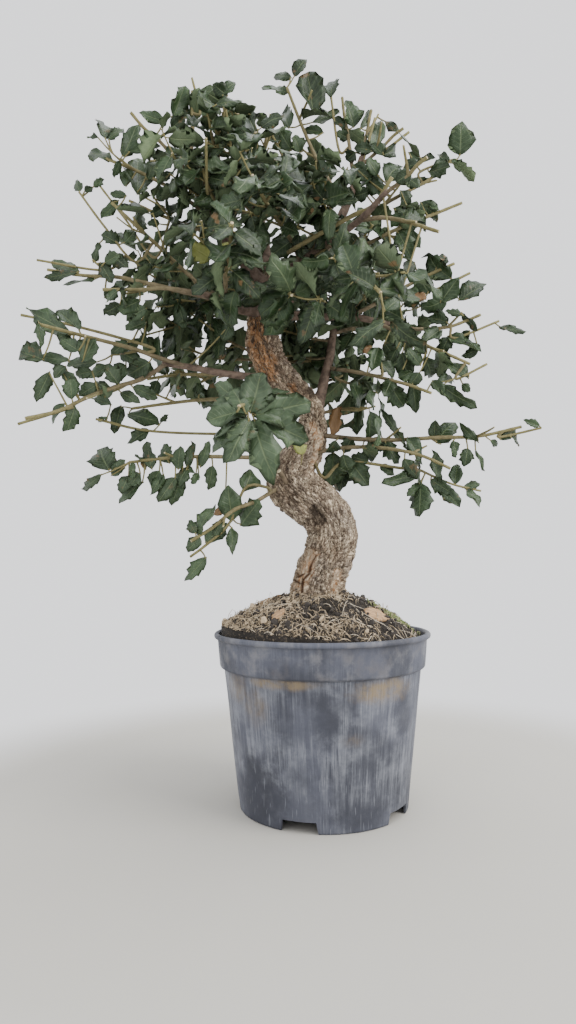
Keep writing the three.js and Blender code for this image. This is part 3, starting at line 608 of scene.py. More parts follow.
def camera_axes():
    """The viewer's right, upward and forward directions."""
    ahead = np.array([0, math.cos(CAMERA_PITCH), math.sin(CAMERA_PITCH)])
    above = np.cross(RIGHT, ahead)
    cosine, sine = math.cos(CAMERA_ROLL), math.sin(CAMERA_ROLL)
    return RIGHT * cosine + above * sine, above * cosine - RIGHT * sine, ahead


def seen_at(x, y, depth):
    """The point at depth (its Y) that the viewer sees at x, y in the picture."""
    right, top, ahead = camera_axes()
    ray = ahead + right * (x - PICTURE[0] / 2) / PICTURE_LENS - top * (y - PICTURE[1] / 2) / PICTURE_LENS
    return CAMERA_AT + ray * (depth - CAMERA_AT[1]) / ray[1]


def in_picture(points):
    """Where the viewer sees points in the picture."""
    right, top, ahead = camera_axes()
    away = points - CAMERA_AT
    deep = away @ ahead
    return np.stack([PICTURE[0] / 2 + PICTURE_LENS * (away @ right) / deep,
                     PICTURE[1] / 2 - PICTURE_LENS * (away @ top) / deep], axis=-1)


# Surfaces

def ring_angles(sides):
    """Even angles round a ring, 2 pi k / sides."""
    return np.arange(sides) * 2 * np.pi / sides


def level_places(x, y):
    """Places at height 0."""
    return np.stack([x, y, 0 * x], axis=-1)


def round_places(radius, angle, height):
    """Places at a radius and an angle round Z, at a height."""
    x, y = radius * np.cos(angle), radius * np.sin(angle)
    return np.stack([x, y, height + 0 * x], axis=-1)


def tube_faces(count, rows, sides):
    """Faces of closed tubes, each of rows rings of sides points and then a point at either end:
    quads between rings and triangles from the end rings to the end points."""
    size = rows * sides + 2
    tube = np.arange(count)[:, None] * size
    row, side = np.divmod(np.arange((rows - 1) * sides), sides)
    a = row * sides + side
    b = row * sides + (side + 1) % sides
    quads = np.stack([a, b, b + sides, a + sides], axis=-1)
    k = np.arange(sides)
    after = (k + 1) % sides
    last = (rows - 1) * sides
    start = np.stack([np.full(sides, size - 2), after, k], axis=-1)
    end = np.stack([np.full(sides, size - 1), last + k, last + after], axis=-1)
    triangles = np.concatenate([start, end])
    return ((tube[:, :, None] + quads[None]).reshape(-1, 4),
            (tube[:, :, None] + triangles[None]).reshape(-1, 3))


def tube_points(rings, first, last):
    """The points of closed tubes in the order that tube_faces() counts them."""
    flat = rings.reshape(rings.shape[0], -1, rings.shape[-1])
    return np.concatenate([flat, first[:, None], last[:, None]], axis=1).reshape(-1, rings.shape[-1])


def closed_form(rings, first, last):
    """One closed tube of rings and two end points: its points, quads and triangles."""
    points = tube_points(rings[None], np.array([first], float), np.array([last], float))
    return points, *tube_faces(1, *rings.shape[:2])


def round_rings(paths, radii, sides):
    """Rings round paths (n, s, 3): point k of a ring is the path's point plus radius times
    (side cos a + other sin a), with a = 2 pi k / sides. radii is (n, s) or (n, s, sides)."""
    _, side, other = carried_frames(paths)
    angle = ring_angles(sides)
    if radii.ndim == 2:
        radii = radii[:, :, None]
    outward = side[:, :, None] * np.cos(angle)[:, None] + other[:, :, None] * np.sin(angle)[:, None]
    return paths[:, :, None] + outward * radii[..., None]


class Surfaces:
    """Surfaces gathered for one piece: points, faces with their slots, and values for each point."""

    def __init__(self):
        self.points, self.quads, self.triangles = [], [], []
        self.quad_slots, self.triangle_slots, self.values = [], [], []
        self.count = 0

    def add(self, points, quads, triangles, slots=(0, 0), **values):
        """Adds a surface. slots is the slot of its quads and of its triangles, each one number
        or one for each face."""
        self.points.append(points)
        self.quads.append(quads + self.count)
        self.triangles.append(triangles + self.count)
        self.quad_slots.append(np.broadcast_to(slots[0], len(quads)))
        self.triangle_slots.append(np.broadcast_to(slots[1], len(triangles)))
        self.values.append({k: np.broadcast_to(v, len(points)) for k, v in values.items()})
        self.count += len(points)

    def tubes(self, paths, radii, sides, slots=(0, 0), **values):
        """Adds closed round tubes. A value is one number, one for each tube, or one for each ring."""
        count, rows = paths.shape[:2]
        rings = round_rings(paths, radii, sides)
        quads, triangles = tube_faces(count, rows, sides)
        spread = {}
        for key, value in values.items():
            value = np.asarray(value, float)
            if value.ndim < 2:
                value = np.broadcast_to(value.reshape(-1, 1), (count, rows))
            ringed = np.repeat(value, sides, axis=1)
            spread[key] = np.concatenate([ringed, value[:, :1], value[:, -1:]], axis=1).ravel()
        self.add(tube_points(rings, paths[:, 0], paths[:, -1]), quads, triangles, slots, **spread)

    def piece(self, name, materials, nodes, slot, sharp=None):
        """Makes the mesh and its object, which stands for the CAD nodes and rides on the root."""
        points = np.concatenate(self.points) * MM
        quads = np.concatenate(self.quads)
        triangles = np.concatenate(self.triangles)
        corners = np.concatenate([quads.ravel(), triangles.ravel()]).astype(np.int32)
        starts = np.concatenate([np.arange(len(quads)) * 4,
                                 len(quads) * 4 + np.arange(len(triangles)) * 3]).astype(np.int32)
        mesh = bpy.data.meshes.new(name)
        mesh.vertices.add(len(points))
        mesh.vertices.foreach_set("co", points.astype(np.float32).ravel())
        mesh.loops.add(len(corners))
        mesh.loops.foreach_set("vertex_index", corners)
        mesh.polygons.add(len(starts))
        mesh.polygons.foreach_set("loop_start", starts)
        slots = np.concatenate(self.quad_slots + self.triangle_slots).astype(np.int32)
        mesh.polygons.foreach_set("material_index", slots)
        mesh.update(calc_edges=True)
        for key in sorted({key for values in self.values for key in values}):
            column = np.concatenate([np.broadcast_to(v.get(key, 0.0), len(p))
                                     for v, p in zip(self.values, self.points)])
            mesh.attributes.new(key, "FLOAT", "POINT").data.foreach_set("value", column.astype(np.float32))
        if sharp is not None:
            mesh.set_sharp_from_angle(angle=math.radians(sharp))
        if mesh.validate():
            raise RuntimeError(name + ": the mesh had faults")
        for material in materials:
            mesh.materials.append(material)
        return place(name, mesh, nodes, slot)


def linked(name, data):
    """A new object at the origin, linked into the scene."""
    made = bpy.data.objects.new(name, data)
    bpy.context.scene.collection.objects.link(made)
    return made


def place(name, mesh, nodes, slot):
    """Links a mesh's object into the scene, rides it on the root and hides the CAD nodes that it stands for.
    """
    piece = linked(name, mesh)
    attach(piece, "root")
    if nodes:
        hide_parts(*nodes)
    return piece


# Materials

class Finish:
    """A material whose nodes end in one Principled shader. Its methods add a node and return the
    socket that it gives."""

    def __init__(self, name, roughness, specular=0.5):
        self.material = bpy.data.materials.new(name)
        self.material.use_nodes = True
        self.tree = self.material.node_tree
        self.tree.nodes.clear()
        self.shader = self.node("BsdfPrincipled")
        self.shade("Roughness", roughness)
        self.shade("Specular IOR Level", specular)
        self.node("OutputMaterial", Surface=self.shader.outputs["BSDF"])
        self.where = self.node("TexCoord").outputs["Object"]

    def put(self, socket, value):
        """Gives an input a value, or links it to a socket."""
        if isinstance(value, bpy.types.NodeSocket):
            self.tree.links.new(value, socket)
        else:
            socket.default_value = value

    def node(self, kind, **inputs):
        """Adds a node and sets its inputs by name, with an underscore for each space."""
        node = self.tree.nodes.new("ShaderNode" + kind)
        for name, value in inputs.items():
            self.put(node.inputs[name.replace("_", " ")], value)
        return node

    def shade(self, name, value):
        """Sets an input of the shader."""
        self.put(self.shader.inputs[name], value)

    def stretched(self, scale, turn=(0, 0, 0)):
        """Object coordinates times a scale for each axis, after a turn."""
        return self.node("Mapping", Vector=self.where, Rotation=turn, Scale=scale).outputs["Vector"]

    def own(self, names, scale, shift=0.0):
        """Coordinates made of three of the mesh's values, each times its scale and shifted."""
        x, y, z = (self.maths("MULTIPLY_ADD", self.value(name), factor, shift)
                   for name, factor in zip(names, scale))
        return self.node("CombineXYZ", X=x, Y=y, Z=z).outputs["Vector"]

    def round_wall(self, turn_scale, height_scale):
        """Coordinates that run round a wall about Z and up it, so that a streak stays on the wall."""
        flat = self.vector_maths("MULTIPLY", self.where, (1, 1, 0))
        parts = self.node("SeparateXYZ", Vector=self.vector_maths("NORMALIZE", flat))
        x, y = (self.times(parts.outputs[axis], turn_scale) for axis in "XY")
        z = self.times(self.height(), height_scale)
        return self.node("CombineXYZ", X=x, Y=y, Z=z).outputs["Vector"]

    def spot(self, centre, wide, tall, wander):
        """1 near a centre and 0 beyond a half width and half height, with an edge that wanders."""
        node = self.node("Mapping", Vector=self.where, Location=centre, Scale=(wide, wide, tall))
        node.vector_type = "TEXTURE"
        away = self.vector_maths("LENGTH", node.outputs["Vector"])
        return self.band(self.maths("MULTIPLY_ADD", wander, 1.3, away), 0.95, 1.95, 1, 0)

    def noise(self, scale, detail=4, rough=0.55, where=None, bend=0):
        """Noise from about 0 to 1."""
        node = self.node("TexNoise", Vector=where or self.where, Scale=scale, Detail=detail,
                         Roughness=rough, Distortion=bend)
        return node.outputs["Fac"]

    def cells(self, where, feature, result):
        """Scattered cells, about one unit wide."""
        node = self.node("TexVoronoi", Vector=where, Scale=1)
        node.feature = feature
        return node.outputs[result]

    def value(self, name):
        """A value kept on the mesh's points."""
        node = self.node("Attribute")
        node.attribute_name = name
        return node.outputs["Fac"]

    def maths(self, operation, a, b=0.0, c=0.0):
        """One step of arithmetic."""
        node = self.node("Math")
        node.operation = operation
        for socket, value in zip(node.inputs, (a, b, c)):
            self.put(socket, value)
        return node.outputs[0]

    def times(self, a, b):
        """One value times another."""
        return self.maths("MULTIPLY", a, b)

    def vector_maths(self, operation, a, b=(0, 0, 0)):
        """One step of arithmetic on vectors, of which a length comes out as a number."""
        node = self.node("VectorMath")
        node.operation = operation
        self.put(node.inputs[0], a)
        self.put(node.inputs[1], b)
        return node.outputs["Value" if operation == "LENGTH" else "Vector"]

    def height(self):
        """How high a point is, in metres."""
        return self.node("SeparateXYZ", Vector=self.where).outputs["Z"]

    def band(self, value, low, high, start=0.0, end=1.0):
        """Goes smoothly from start to end as a value goes from low to high."""
        node = self.node("MapRange", Value=value, From_Min=low, From_Max=high, To_Min=start, To_Max=end)
        node.interpolation_type = "SMOOTHSTEP"
        return node.outputs["Result"]

    def mixed(self, share, a, b):
        """One colour over another by a share."""
        node = self.node("Mix")
        node.data_type = "RGBA"
        self.put(node.inputs[0], share)
        for socket, colour in ((node.inputs[6], a), (node.inputs[7], b)):
            self.put(socket, colour if isinstance(colour, bpy.types.NodeSocket) else (*colour[:3], 1))
        return node.outputs[2]

    def colour(self, socket):
        """Sets the base colour."""
        self.shade("Base Color", socket)

    def bump(self, height, distance, strength=1.0):
        """Raises and lowers the surface's shading by a height from 0 to 1 times a distance."""
        node = self.node("Bump", Strength=strength, Distance=distance, Height=height)
        self.shade("Normal", node.outputs["Normal"])


def darker(colour, share):
    """A colour times a share."""
    return tuple(channel * share for channel in colour[:3])


def plastic_finish(settings):
    """Weathered slate plastic: fine chalky streaks down the wall, dark worn patches, ochre stains
    under the collar and slanted scratches near the foot."""
    f = Finish("weathered_plastic", 0.62, 0.28)
    tall = f.height()
    cloud = f.noise(17, 5, 0.6)
    wander = f.noise(60, 5, 0.65)
    chalk = f.noise(1, 4, 0.65, f.round_wall(16, 7), 1.6)
    fine = f.noise(1, 3, 0.6, f.round_wall(190, 60), 1.2)
    wall = f.band(tall, 0.1165, 0.1195, 1, 0)
    base = f.mixed(f.band(cloud, 0.42, 0.60), settings.plastic, darker(settings.plastic, 0.58))
    streak = f.times(f.band(chalk, 0.34, 0.66), f.band(fine, 0.36, 0.64, 0.2, 1))
    worn = f.band(f.noise(26, 4, 0.6), 0.36, 0.60, 0.2, 1)
    worn = f.times(worn, f.band(tall, 0.0, 0.055, 0.45, 1))
    dark = 0.0
    for centre, wide, high, strength in WORN_MARKS:
        spot = f.spot(centre, wide, high, wander)
        dark = f.maths("MAXIMUM", f.times(spot, strength), dark)
        worn = f.times(worn, f.maths("MULTIPLY_ADD", spot, -strength, 1.0))
    streak = f.times(streak, f.maths("MULTIPLY_ADD", dark, -0.8, 1.0))
    streak = f.times(streak, f.times(worn, f.maths("MULTIPLY_ADD", wall, 0.55, 0.15)))
    base = f.mixed(streak, base, settings.chalk)
    base = f.mixed(f.times(dark, 0.75), base, darker(settings.plastic, 0.5))
    haze = f.times(f.band(wander, 0.42, 0.75), f.times(worn, 0.42))
    base = f.mixed(haze, base, settings.chalk)
    stain = 0.0
    for centre, wide, high, strength in STAIN_MARKS:
        spot = f.times(f.spot(centre, wide, high, wander), strength)
        stain = f.maths("MAXIMUM", spot, stain)
    patchy = f.times(f.band(f.noise(110, 5, 0.7), 0.36, 0.62, 0.25, 0.85), wall)
    base = f.mixed(f.times(stain, patchy), base, settings.stain)
    collar = f.times(f.band(tall, 0.118, 0.120), f.band(wander, 0.45, 0.7, 0, 0.16))
    base = f.mixed(collar, base, darker(settings.stain, 0.7))
    scratch = f.noise(1, 1, 0.5, f.stretched((900, 200, 60), (0, 0.6, 0)))
    scratch = f.times(f.band(scratch, 0.66, 0.72), f.band(tall, 0.035, 0.055, 1, 0))
    base = f.mixed(f.times(scratch, 0.3), base, settings.chalk)
    f.colour(base)
    f.shade("Roughness", f.band(f.noise(45, 4), 0.3, 0.7, 0.5, 0.75))
    f.bump(f.maths("ADD", f.times(fine, 0.5), f.noise(500, 3)), 0.00022, 0.5)
    return f.material


def peat_finish(settings):
    """Dark wet peat with paler crumbs by patches, and painted shade that darkens the hollows: the lower a
    point of the crumbled mound, the darker.
    """
    f = Finish("peat", 0.95, 0.2)
    crumb = f.noise(520, 5, 0.7)
    base = f.mixed(f.band(crumb, 0.50, 0.74), settings.peat, darker(settings.dry_moss, 0.40))
    # painted shade: the low points of the mound, its hollows, are darkened by each point's crumb height
    base = f.mixed(f.band(f.value("depth"), 0.25, 0.75, 0.75, 0), base, darker(settings.peat, 0.4))
    f.colour(base)
    f.bump(crumb, 0.001, 0.8)
    return f.material


def fibre_finish(settings):
    """Dry moss and grass: straw to brown by each fibre's own tone."""
    f = Finish("dry_fibres", 0.85, 0.25)
    tone = f.value("tone")
    base = f.mixed(f.band(tone, 0.0, 0.5), darker(settings.peat, 1.6), settings.dry_moss)
    base = f.mixed(f.band(tone, 0.75, 1.0), base, settings.pale_root)
    base = f.mixed(f.value("green"), base, settings.green_moss)
    f.colour(base)
    f.bump(f.noise(900, 2), 0.0002, 0.4)
    return f.material


def chip_finish(settings):
    """Bark chips: tan with darker grain and a worn, paler edge."""
    f = Finish("bark_chips", 0.85, 0.25)
    grain = f.noise(1, 4, 0.6, f.stretched((260, 900, 400), (0, 0, 0.6)))
    tone = f.value("tone")
    base = f.mixed(f.band(tone, 0.1, 0.9), darker(settings.chip, 0.45), settings.chip)
    base = f.mixed(f.band(grain, 0.4, 0.65, 0, 0.7), base, darker(settings.chip, 0.35))
    f.colour(base)
    f.bump(grain, 0.0008, 0.7)
    return f.material


def cork_finish(settings):
    """Cork bark: tan flakes over dark fissures that run along the trunk, with grey and rusty
    patches, rusty scars, a worn pale strip and its red-brown crack, and painted shade where
    the trunk lies in shade."""
    f = Finish("cork_bark", 0.9, 0.2)
    bark = ("bark_x", "bark_y", "bark_z")
    depth = f.value("depth")
    flaky = f.noise(1, 6, 0.72, f.own(bark, (0.34, 0.34, 0.13)), 0.9)
    bent = f.own(bark, (0.40, 0.40, 0.19), f.times(f.noise(330, 3, 0.6), 3.0))
    crack = f.cells(bent, "DISTANCE_TO_EDGE", "Distance")
    chip = f.node("SeparateColor", Color=f.cells(bent, "F1", "Color"))
    grit = f.noise(1, 5, 0.75, f.own(bark, (1.1, 1.1, 0.5)), 0.5)
    patch = f.noise(1, 4, 0.6, f.own(bark, (0.055, 0.055, 0.03)))
    rusty = f.noise(1, 4, 0.6, f.own(bark, (0.04, 0.04, 0.03)))
    plate = f.mixed(f.band(patch, 0.38, 0.64), settings.cork, settings.cork_grey)
    plate = f.mixed(f.band(rusty, 0.55, 0.72, 0, 0.4), plate, settings.inner_bark)
    plate = f.mixed(f.band(chip.outputs[0], 0.1, 0.9, 0.45, 0), plate, darker(settings.cork, 0.45))
    plate = f.mixed(f.band(chip.outputs[1], 0.4, 0.9, 0, 0.8), plate, settings.flake)
    plate = f.mixed(f.band(flaky, 0.38, 0.50, 0.75, 0), plate, darker(settings.fissure, 1.7))
    plate = f.mixed(f.band(flaky, 0.54, 0.64, 0, 0.75), plate, settings.flake)
    plate = f.mixed(f.band(crack, 0.015, 0.10, 0.8, 0), plate, darker(settings.fissure, 1.3))
    plate = f.mixed(f.band(grit, 0.38, 0.50, 0.5, 0), plate, darker(settings.fissure, 1.8))
    base = f.mixed(f.band(depth, 0.04, 0.32, 0.92, 0), plate, settings.fissure)
    flecks = f.mixed(f.band(flaky, 0.44, 0.54), darker(settings.fissure, 1.6), settings.rust)
    flecks = f.mixed(f.band(grit, 0.52, 0.66, 0, 0.6), flecks, settings.flake)
    base = f.mixed(f.times(f.value("scar"), 0.85), base, flecks)
    # painted shade: the shade marks darken the bark where the trunk lies in shade
    base = f.mixed(f.times(f.value("shade"), 0.42), base, darker(settings.fissure, 1.5))
    strip = f.mixed(f.band(flaky, 0.35, 0.6), settings.rust, settings.flake)
    base = f.mixed(f.times(f.value("pale"), 0.85), base, strip)
    base = f.mixed(f.value("crack"), base, darker(settings.inner_bark, 0.22))
    base = f.mixed(f.times(f.value("knot"), 0.85), base, darker(settings.fissure, 0.7))
    f.colour(base)
    relief = f.maths("ADD", flaky, f.times(grit, 0.5))
    f.bump(f.maths("ADD", relief, f.band(crack, 0.0, 0.25, 0, 0.9)), 0.0016, 1.0)
    return f.material


def limb_finish(settings):
    """Smoother grey-brown bark of the limbs and of the older part of a branch, which turns
    olive green towards its tip by the value young."""
    f = Finish("limb_bark", 0.8, 0.15)
    mottle = f.noise(180, 4, 0.6)
    old = f.mixed(f.band(mottle, 0.35, 0.65), settings.limb, darker(settings.limb, 0.5))
    green = f.mixed(f.band(mottle, 0.4, 0.65, 0, 0.6), settings.shoot, darker(settings.shoot, 0.6))
    base = f.mixed(f.value("young"), old, green)
    f.colour(base)
    f.bump(f.noise(1, 4, 0.6, f.stretched((600, 600, 600))), 0.0006, 0.6)
    return f.material


def cut_finish(settings):
    """The pale end of a pruned shoot, mottled browner by noise."""
    f = Finish("cut_wood", 0.75, 0.3)
    f.colour(f.mixed(f.noise(900, 3), settings.cut_wood, darker(settings.cut_wood, 0.7)))
    return f.material


def blade_finish(settings, name, colour, vein, under):
    """A leaf's skin: a paler midrib and slanted side veins from the values across and along,
    grey patches that are partly the leaf's own grey cast and partly painted sheen, a tone for each leaf,
    and yellow or brown where a leaf is young or dead."""
    f = Finish(name, 0.70 if under else 0.36, 0.15 if under else 0.26)
    across = f.maths("ABSOLUTE", f.value("across"))
    along = f.value("along")
    tone = f.value("tone")
    midrib = f.band(across, 0.015, 0.10, 1, 0)
    comb = f.maths("SUBTRACT", f.times(along, 7.5), f.times(across, 1.7))
    comb = f.maths("ABSOLUTE", f.maths("SUBTRACT", f.maths("FRACT", comb), 0.5))
    side = f.times(f.band(comb, 0.02, 0.14, 1, 0), f.band(across, 0.6, 1.0, 0.38, 0))
    veins = f.maths("MAXIMUM", midrib, side)
    base = f.mixed(f.band(tone, 0.1, 0.9), darker(colour, 0.6), darker(colour, 1.35))
    base = f.mixed(f.band(tone, 0.86, 0.93, 0, 0.3), base, settings.lower)
    grey = f.times(f.value("sage"), f.band(f.noise(55, 3), 0.3, 0.65, 0.35, 1))
    base = f.mixed(grey, base, darker(settings.bloom_and_sheen, 1.7))
    base = f.mixed(f.band(f.noise(75, 3, 0.6), 0.40, 0.66, 0.55, 0), base, darker(colour, 0.5))
    # partly painted sheen: grey patches over the upper side that stand in for the glossy leaves' greyish
    # sheen
    bloom_and_sheen = f.times(f.band(f.noise(150, 4, 0.6), 0.4, 0.7), 0.5)
    base = f.mixed(bloom_and_sheen, base, settings.bloom_and_sheen)
    base = f.mixed(f.times(veins, 0.34), base, vein)
    blotch = f.band(f.noise(95, 3, 0.6), 0.60, 0.68, 0, 0.8)
    base = f.mixed(f.times(blotch, f.band(tone, 0.0, 0.4, 1, 0)), base, settings.dead)
    base = f.mixed(f.value("yellow"), base, settings.young)
    base = f.mixed(f.value("dead"), base, settings.dead)
    f.colour(base)
    relief = f.maths("SUBTRACT", f.noise(420, 3), f.times(veins, 0.9))
    f.bump(relief, 0.0006 if under else 0.0005, 0.7)
    return f.material


def floor_finish(settings):
    """A plain pale floor that fades, far from the tree, into the even brightness of the wall."""
    f = Finish("pale_floor", 1.0, 0.0)
    far = f.band(f.vector_maths("LENGTH", f.where), 0.30, 0.52)
    soft = f.band(f.noise(6, 3), 0.3, 0.7, 0, 0.25)
    near = f.mixed(soft, settings.floor, darker(settings.floor, 0.93))
    f.colour(f.mixed(far, near, (0, 0, 0)))
    f.shade("Emission Color", (*settings.wall, 1))
    f.shade("Emission Strength", f.times(far, settings.daylight))
    return f.material


# Settings

def distance(name, description, default):
    """A length in metres that a user may change."""
    return FloatProperty(name=name, description=description, default=default, min=0.0,
                         subtype="DISTANCE", unit="LENGTH", precision=4)


def tint(name, description, default):
    """A colour that a user may change, as linear red, green and blue."""
    return FloatVectorProperty(name=name, description=description, default=default, size=3,
                               min=0.0, max=1.0, subtype="COLOR")


class PotSettings(bpy.types.PropertyGroup):
    """Sizes and colours of the pot."""
    rim_radius: distance("Rim radius", "From the middle to the lip's edge", POT_HIGH.x)
    height: distance("Height", "From the ground to the lip's top", POT_HIGH.z)
    foot_radius: distance("Foot radius", "Of the wall at the ground", 0.073)
    wall: distance("Wall", "Thickness of the plastic", 0.0016)
    collar: distance("Collar", "Height of the wider band below the lip", 0.028)
    columns: IntProperty(name="Columns", description="Faces round the pot", default=300, min=60, max=600)
    plastic: tint("Plastic", "Clean slate plastic", (0.078, 0.083, 0.108))
    chalk: tint("Chalk", "Chalky streaks and scratches", (0.30, 0.315, 0.355))
    stain: tint("Stain", "Brown tide line below the collar", (0.23, 0.17, 0.095))


class SoilSettings(bpy.types.PropertyGroup):
    """Sizes and colours of the potting mix."""
    fibres: IntProperty(name="Fibres", description="Dry fibres on the mix", default=6800, min=0, max=12000)
    crumbs: IntProperty(name="Crumbs", description="Loose crumbs on the mix", default=2600, min=0, max=6000)
    fibre_length: distance("Fibre length", "Of a usual dry fibre", 0.0058)
    peat: tint("Peat", "Wet peat", (0.030, 0.026, 0.023))
    dry_moss: tint("Dry moss", "Straw-coloured moss and grass", (0.50, 0.395, 0.265))
    pale_root: tint("Pale root", "Thin whitish roots", (0.54, 0.47, 0.37))
    green_moss: tint("Green moss", "Living moss", (0.16, 0.23, 0.07))
    chip: tint("Chip", "Bark chips and flakes", (0.52, 0.33, 0.18))


class WoodSettings(bpy.types.PropertyGroup):
    """Relief and colours of the trunk, limbs and shoots."""
    relief: distance("Bark relief", "From a fissure's floor to a plate's top", 0.0027)
    plate_width: distance("Plate width", "Of a plate of cork", 0.0040)
    plate_length: distance("Plate length", "Of a plate of cork", 0.0120)
    cork: tint("Cork", "Tan cork plates", (0.60, 0.455, 0.315))
    cork_grey: tint("Grey cork", "Older, greyer plates", (0.50, 0.42, 0.335))
    flake: tint("Flake", "Pale rims of peeling flakes", (0.88, 0.72, 0.52))
    rust: tint("Rust", "Orange flecks of an old scar", (0.52, 0.25, 0.10))
    fissure: tint("Fissure", "Floor of a fissure", (0.055, 0.036, 0.024))
    inner_bark: tint("Inner bark", "Rusty bark that a lost plate lays bare", (0.34, 0.145, 0.06))
    limb: tint("Limb", "Thin limbs", (0.155, 0.112, 0.085))
    shoot: tint("Shoot", "Young olive shoots", (0.215, 0.195, 0.085))
    cut_wood: tint("Cut wood", "Ends where a shoot was cut", (0.55, 0.47, 0.30))


class LeafSettings(bpy.types.PropertyGroup):
    """Sizes and colours of the leaves."""
    blade: distance("Blade", "Usual length of a blade", 0.0285)
    width: FloatProperty(name="Width", description="Width as a share of the length", default=0.64,
                         min=0.2, max=1.2, subtype="FACTOR")
    thickness: distance("Thickness", "Of a blade at its midrib", 0.0007)
    tooth: FloatProperty(name="Tooth", description="Height of a tooth as a share of the half width",
                         default=0.10, min=0.0, max=0.4, subtype="FACTOR")
    upper: tint("Upper side", "Glossy upper side", (0.026, 0.049, 0.018))
    lower: tint("Lower side", "Felted underside", (0.112, 0.150, 0.078))
    # partly painted sheen: the grey of the patches on the upper side
    bloom_and_sheen: tint("Bloom", "Grey bloom on the upper side", (0.058, 0.084, 0.047))
    vein: tint("Vein", "Midrib and side veins", (0.20, 0.25, 0.12))
    young: tint("Young", "Young yellow-green leaves", (0.24, 0.26, 0.075))
    dead: tint("Dead", "Brown dead leaves and blotches", (0.17, 0.10, 0.045))


class StageSettings(bpy.types.PropertyGroup):
    """Floor, light and camera."""
    floor: tint("Floor", "Near the pot", (0.49, 0.475, 0.435))
    wall: tint("Wall", "Behind the tree", (0.955, 0.962, 0.985))
    daylight: FloatProperty(name="Daylight", description="Strength of the light from all round",
                            default=1.62, min=0.0, max=10.0)
    key_power: FloatProperty(name="Key light", description="Power of the large soft light", default=30.0,
                             min=0.0, unit="POWER")
    lens: FloatProperty(name="Lens", description="Focal length on a 36 mm sensor, in millimetres",
                        default=23.906, min=5.0, max=200.0)


SETTINGS = {
    "bonsai_pot": PotSettings,
    "bonsai_soil": SoilSettings,
    "bonsai_wood": WoodSettings,
    "bonsai_leaf": LeafSettings,
    "bonsai_stage": StageSettings,
}


# Pot

def pot_rings(settings):
    """Rings of the pot about +Z: a profile of radius and height turned round, from the middle of
    the underside out, up the wall, over the lip and down inside. At a notch of the foot every
    point below the notch's roof is raised to it."""
    rim, tall = settings.rim_radius / MM, settings.height / MM
    foot, wall, collar = settings.foot_radius / MM, settings.wall / MM, settings.collar / MM
    lean = (rim - WALL_INSET - foot) / (tall - collar)
    inside = foot - wall
    skirt = [(5, 0), (12.4, 0), (13, 0.6), (13, 6), (13.6, FLOOR_UNDER), (FLOOR_RING, FLOOR_UNDER)]
    skirt += [(inside - 1.5, FLOOR_UNDER), (inside, FLOOR_UNDER - 0.6), (inside, 7), (inside, 4), (inside, 2),
              (inside, 0)]
    outer = [(foot + lean * z - (0.4 if z < 0.3 else 0), z) for z in OUTER_HEIGHTS]
    band = [(rim - inset, z) for inset, z in COLLAR_PROFILE]
    inner = [(inside + lean * z, z) for z in INNER_HEIGHTS]
    inner += [(inside - 1, FLOOR_TOP), (FLOOR_RING, FLOOR_TOP), (8, FLOOR_TOP)]
    profile = np.array(skirt + outer + band + inner)
    radius, z = profile[:, 0][:, None], profile[:, 1][:, None]
    angle = ring_angles(settings.columns)
    turn = np.degrees(angle) - NOTCH_FIRST
    step = 360 / NOTCH_COUNT
    off = np.abs((turn + step / 2) % step - step / 2)
    roof = NOTCH_HEIGHT * np.clip(NOTCH_HALF - off, 0, 1)[None]
    on_foot = (radius > FLOOR_RING) & (z < NOTCH_HEIGHT)
    on_outer = np.arange(len(profile))[:, None] >= len(skirt)
    height = np.where(on_foot, np.maximum(z, roof), z)
    radius = radius + np.where(on_foot & on_outer, (height - z) * lean, 0)
    places = round_places(2.2 + 0 * height, angle, height / 45)
    dents = (layered_noise(places, 3, 11) - 0.5) * 0.9 * ((height > 12) & (radius > 60))
    return round_places(radius + dents, angle, height)


def drain_cutter():
    """Upright pins, one for each drain hole: a ring of points at two heights and the pins' ends."""
    turns = np.radians(NOTCH_FIRST + np.arange(NOTCH_COUNT) * 360 / NOTCH_COUNT)
    paths = np.stack([round_places(DRAIN_CIRCLE, turns, z) for z in (6.0, 10.5, 15.0)], axis=1)
    pins = Surfaces()
    pins.tubes(paths, np.full(paths.shape[:2], float(DRAIN_RADIUS)), 20)
    mesh = bpy.data.meshes.new("drain_pins")
    faces = np.concatenate(pins.quads).tolist() + np.concatenate(pins.triangles).tolist()
    mesh.from_pydata((np.concatenate(pins.points) * MM).tolist(), [], faces)
    return linked("drain_pins", mesh)


class BONSAI_OT_pot(bpy.types.Operator):
    """Make the plastic nursery pot"""
    bl_idname = "bonsai.pot"
    bl_label = "Nursery pot"

    def execute(self, context):
        settings = context.scene.bonsai_pot
        pot = Surfaces()
        pot.add(*closed_form(pot_rings(settings), (0, 0, 0), (0, 0, FLOOR_TOP)))
        piece = pot.piece("nursery_pot", [plastic_finish(settings)], ["pot"], "pot_plastic", sharp=40)
        cutter = drain_cutter()
        cut = piece.modifiers.new("drains", "BOOLEAN")
        cut.operation = "DIFFERENCE"
        cut.object = cutter
        context.view_layer.update()
        cut_mesh = bpy.data.meshes.new_from_object(piece.evaluated_get(context.evaluated_depsgraph_get()))
        piece.modifiers.clear()
        piece.data = cut_mesh
        bpy.data.objects.remove(cutter)
        return {"FINISHED"}


# Soil

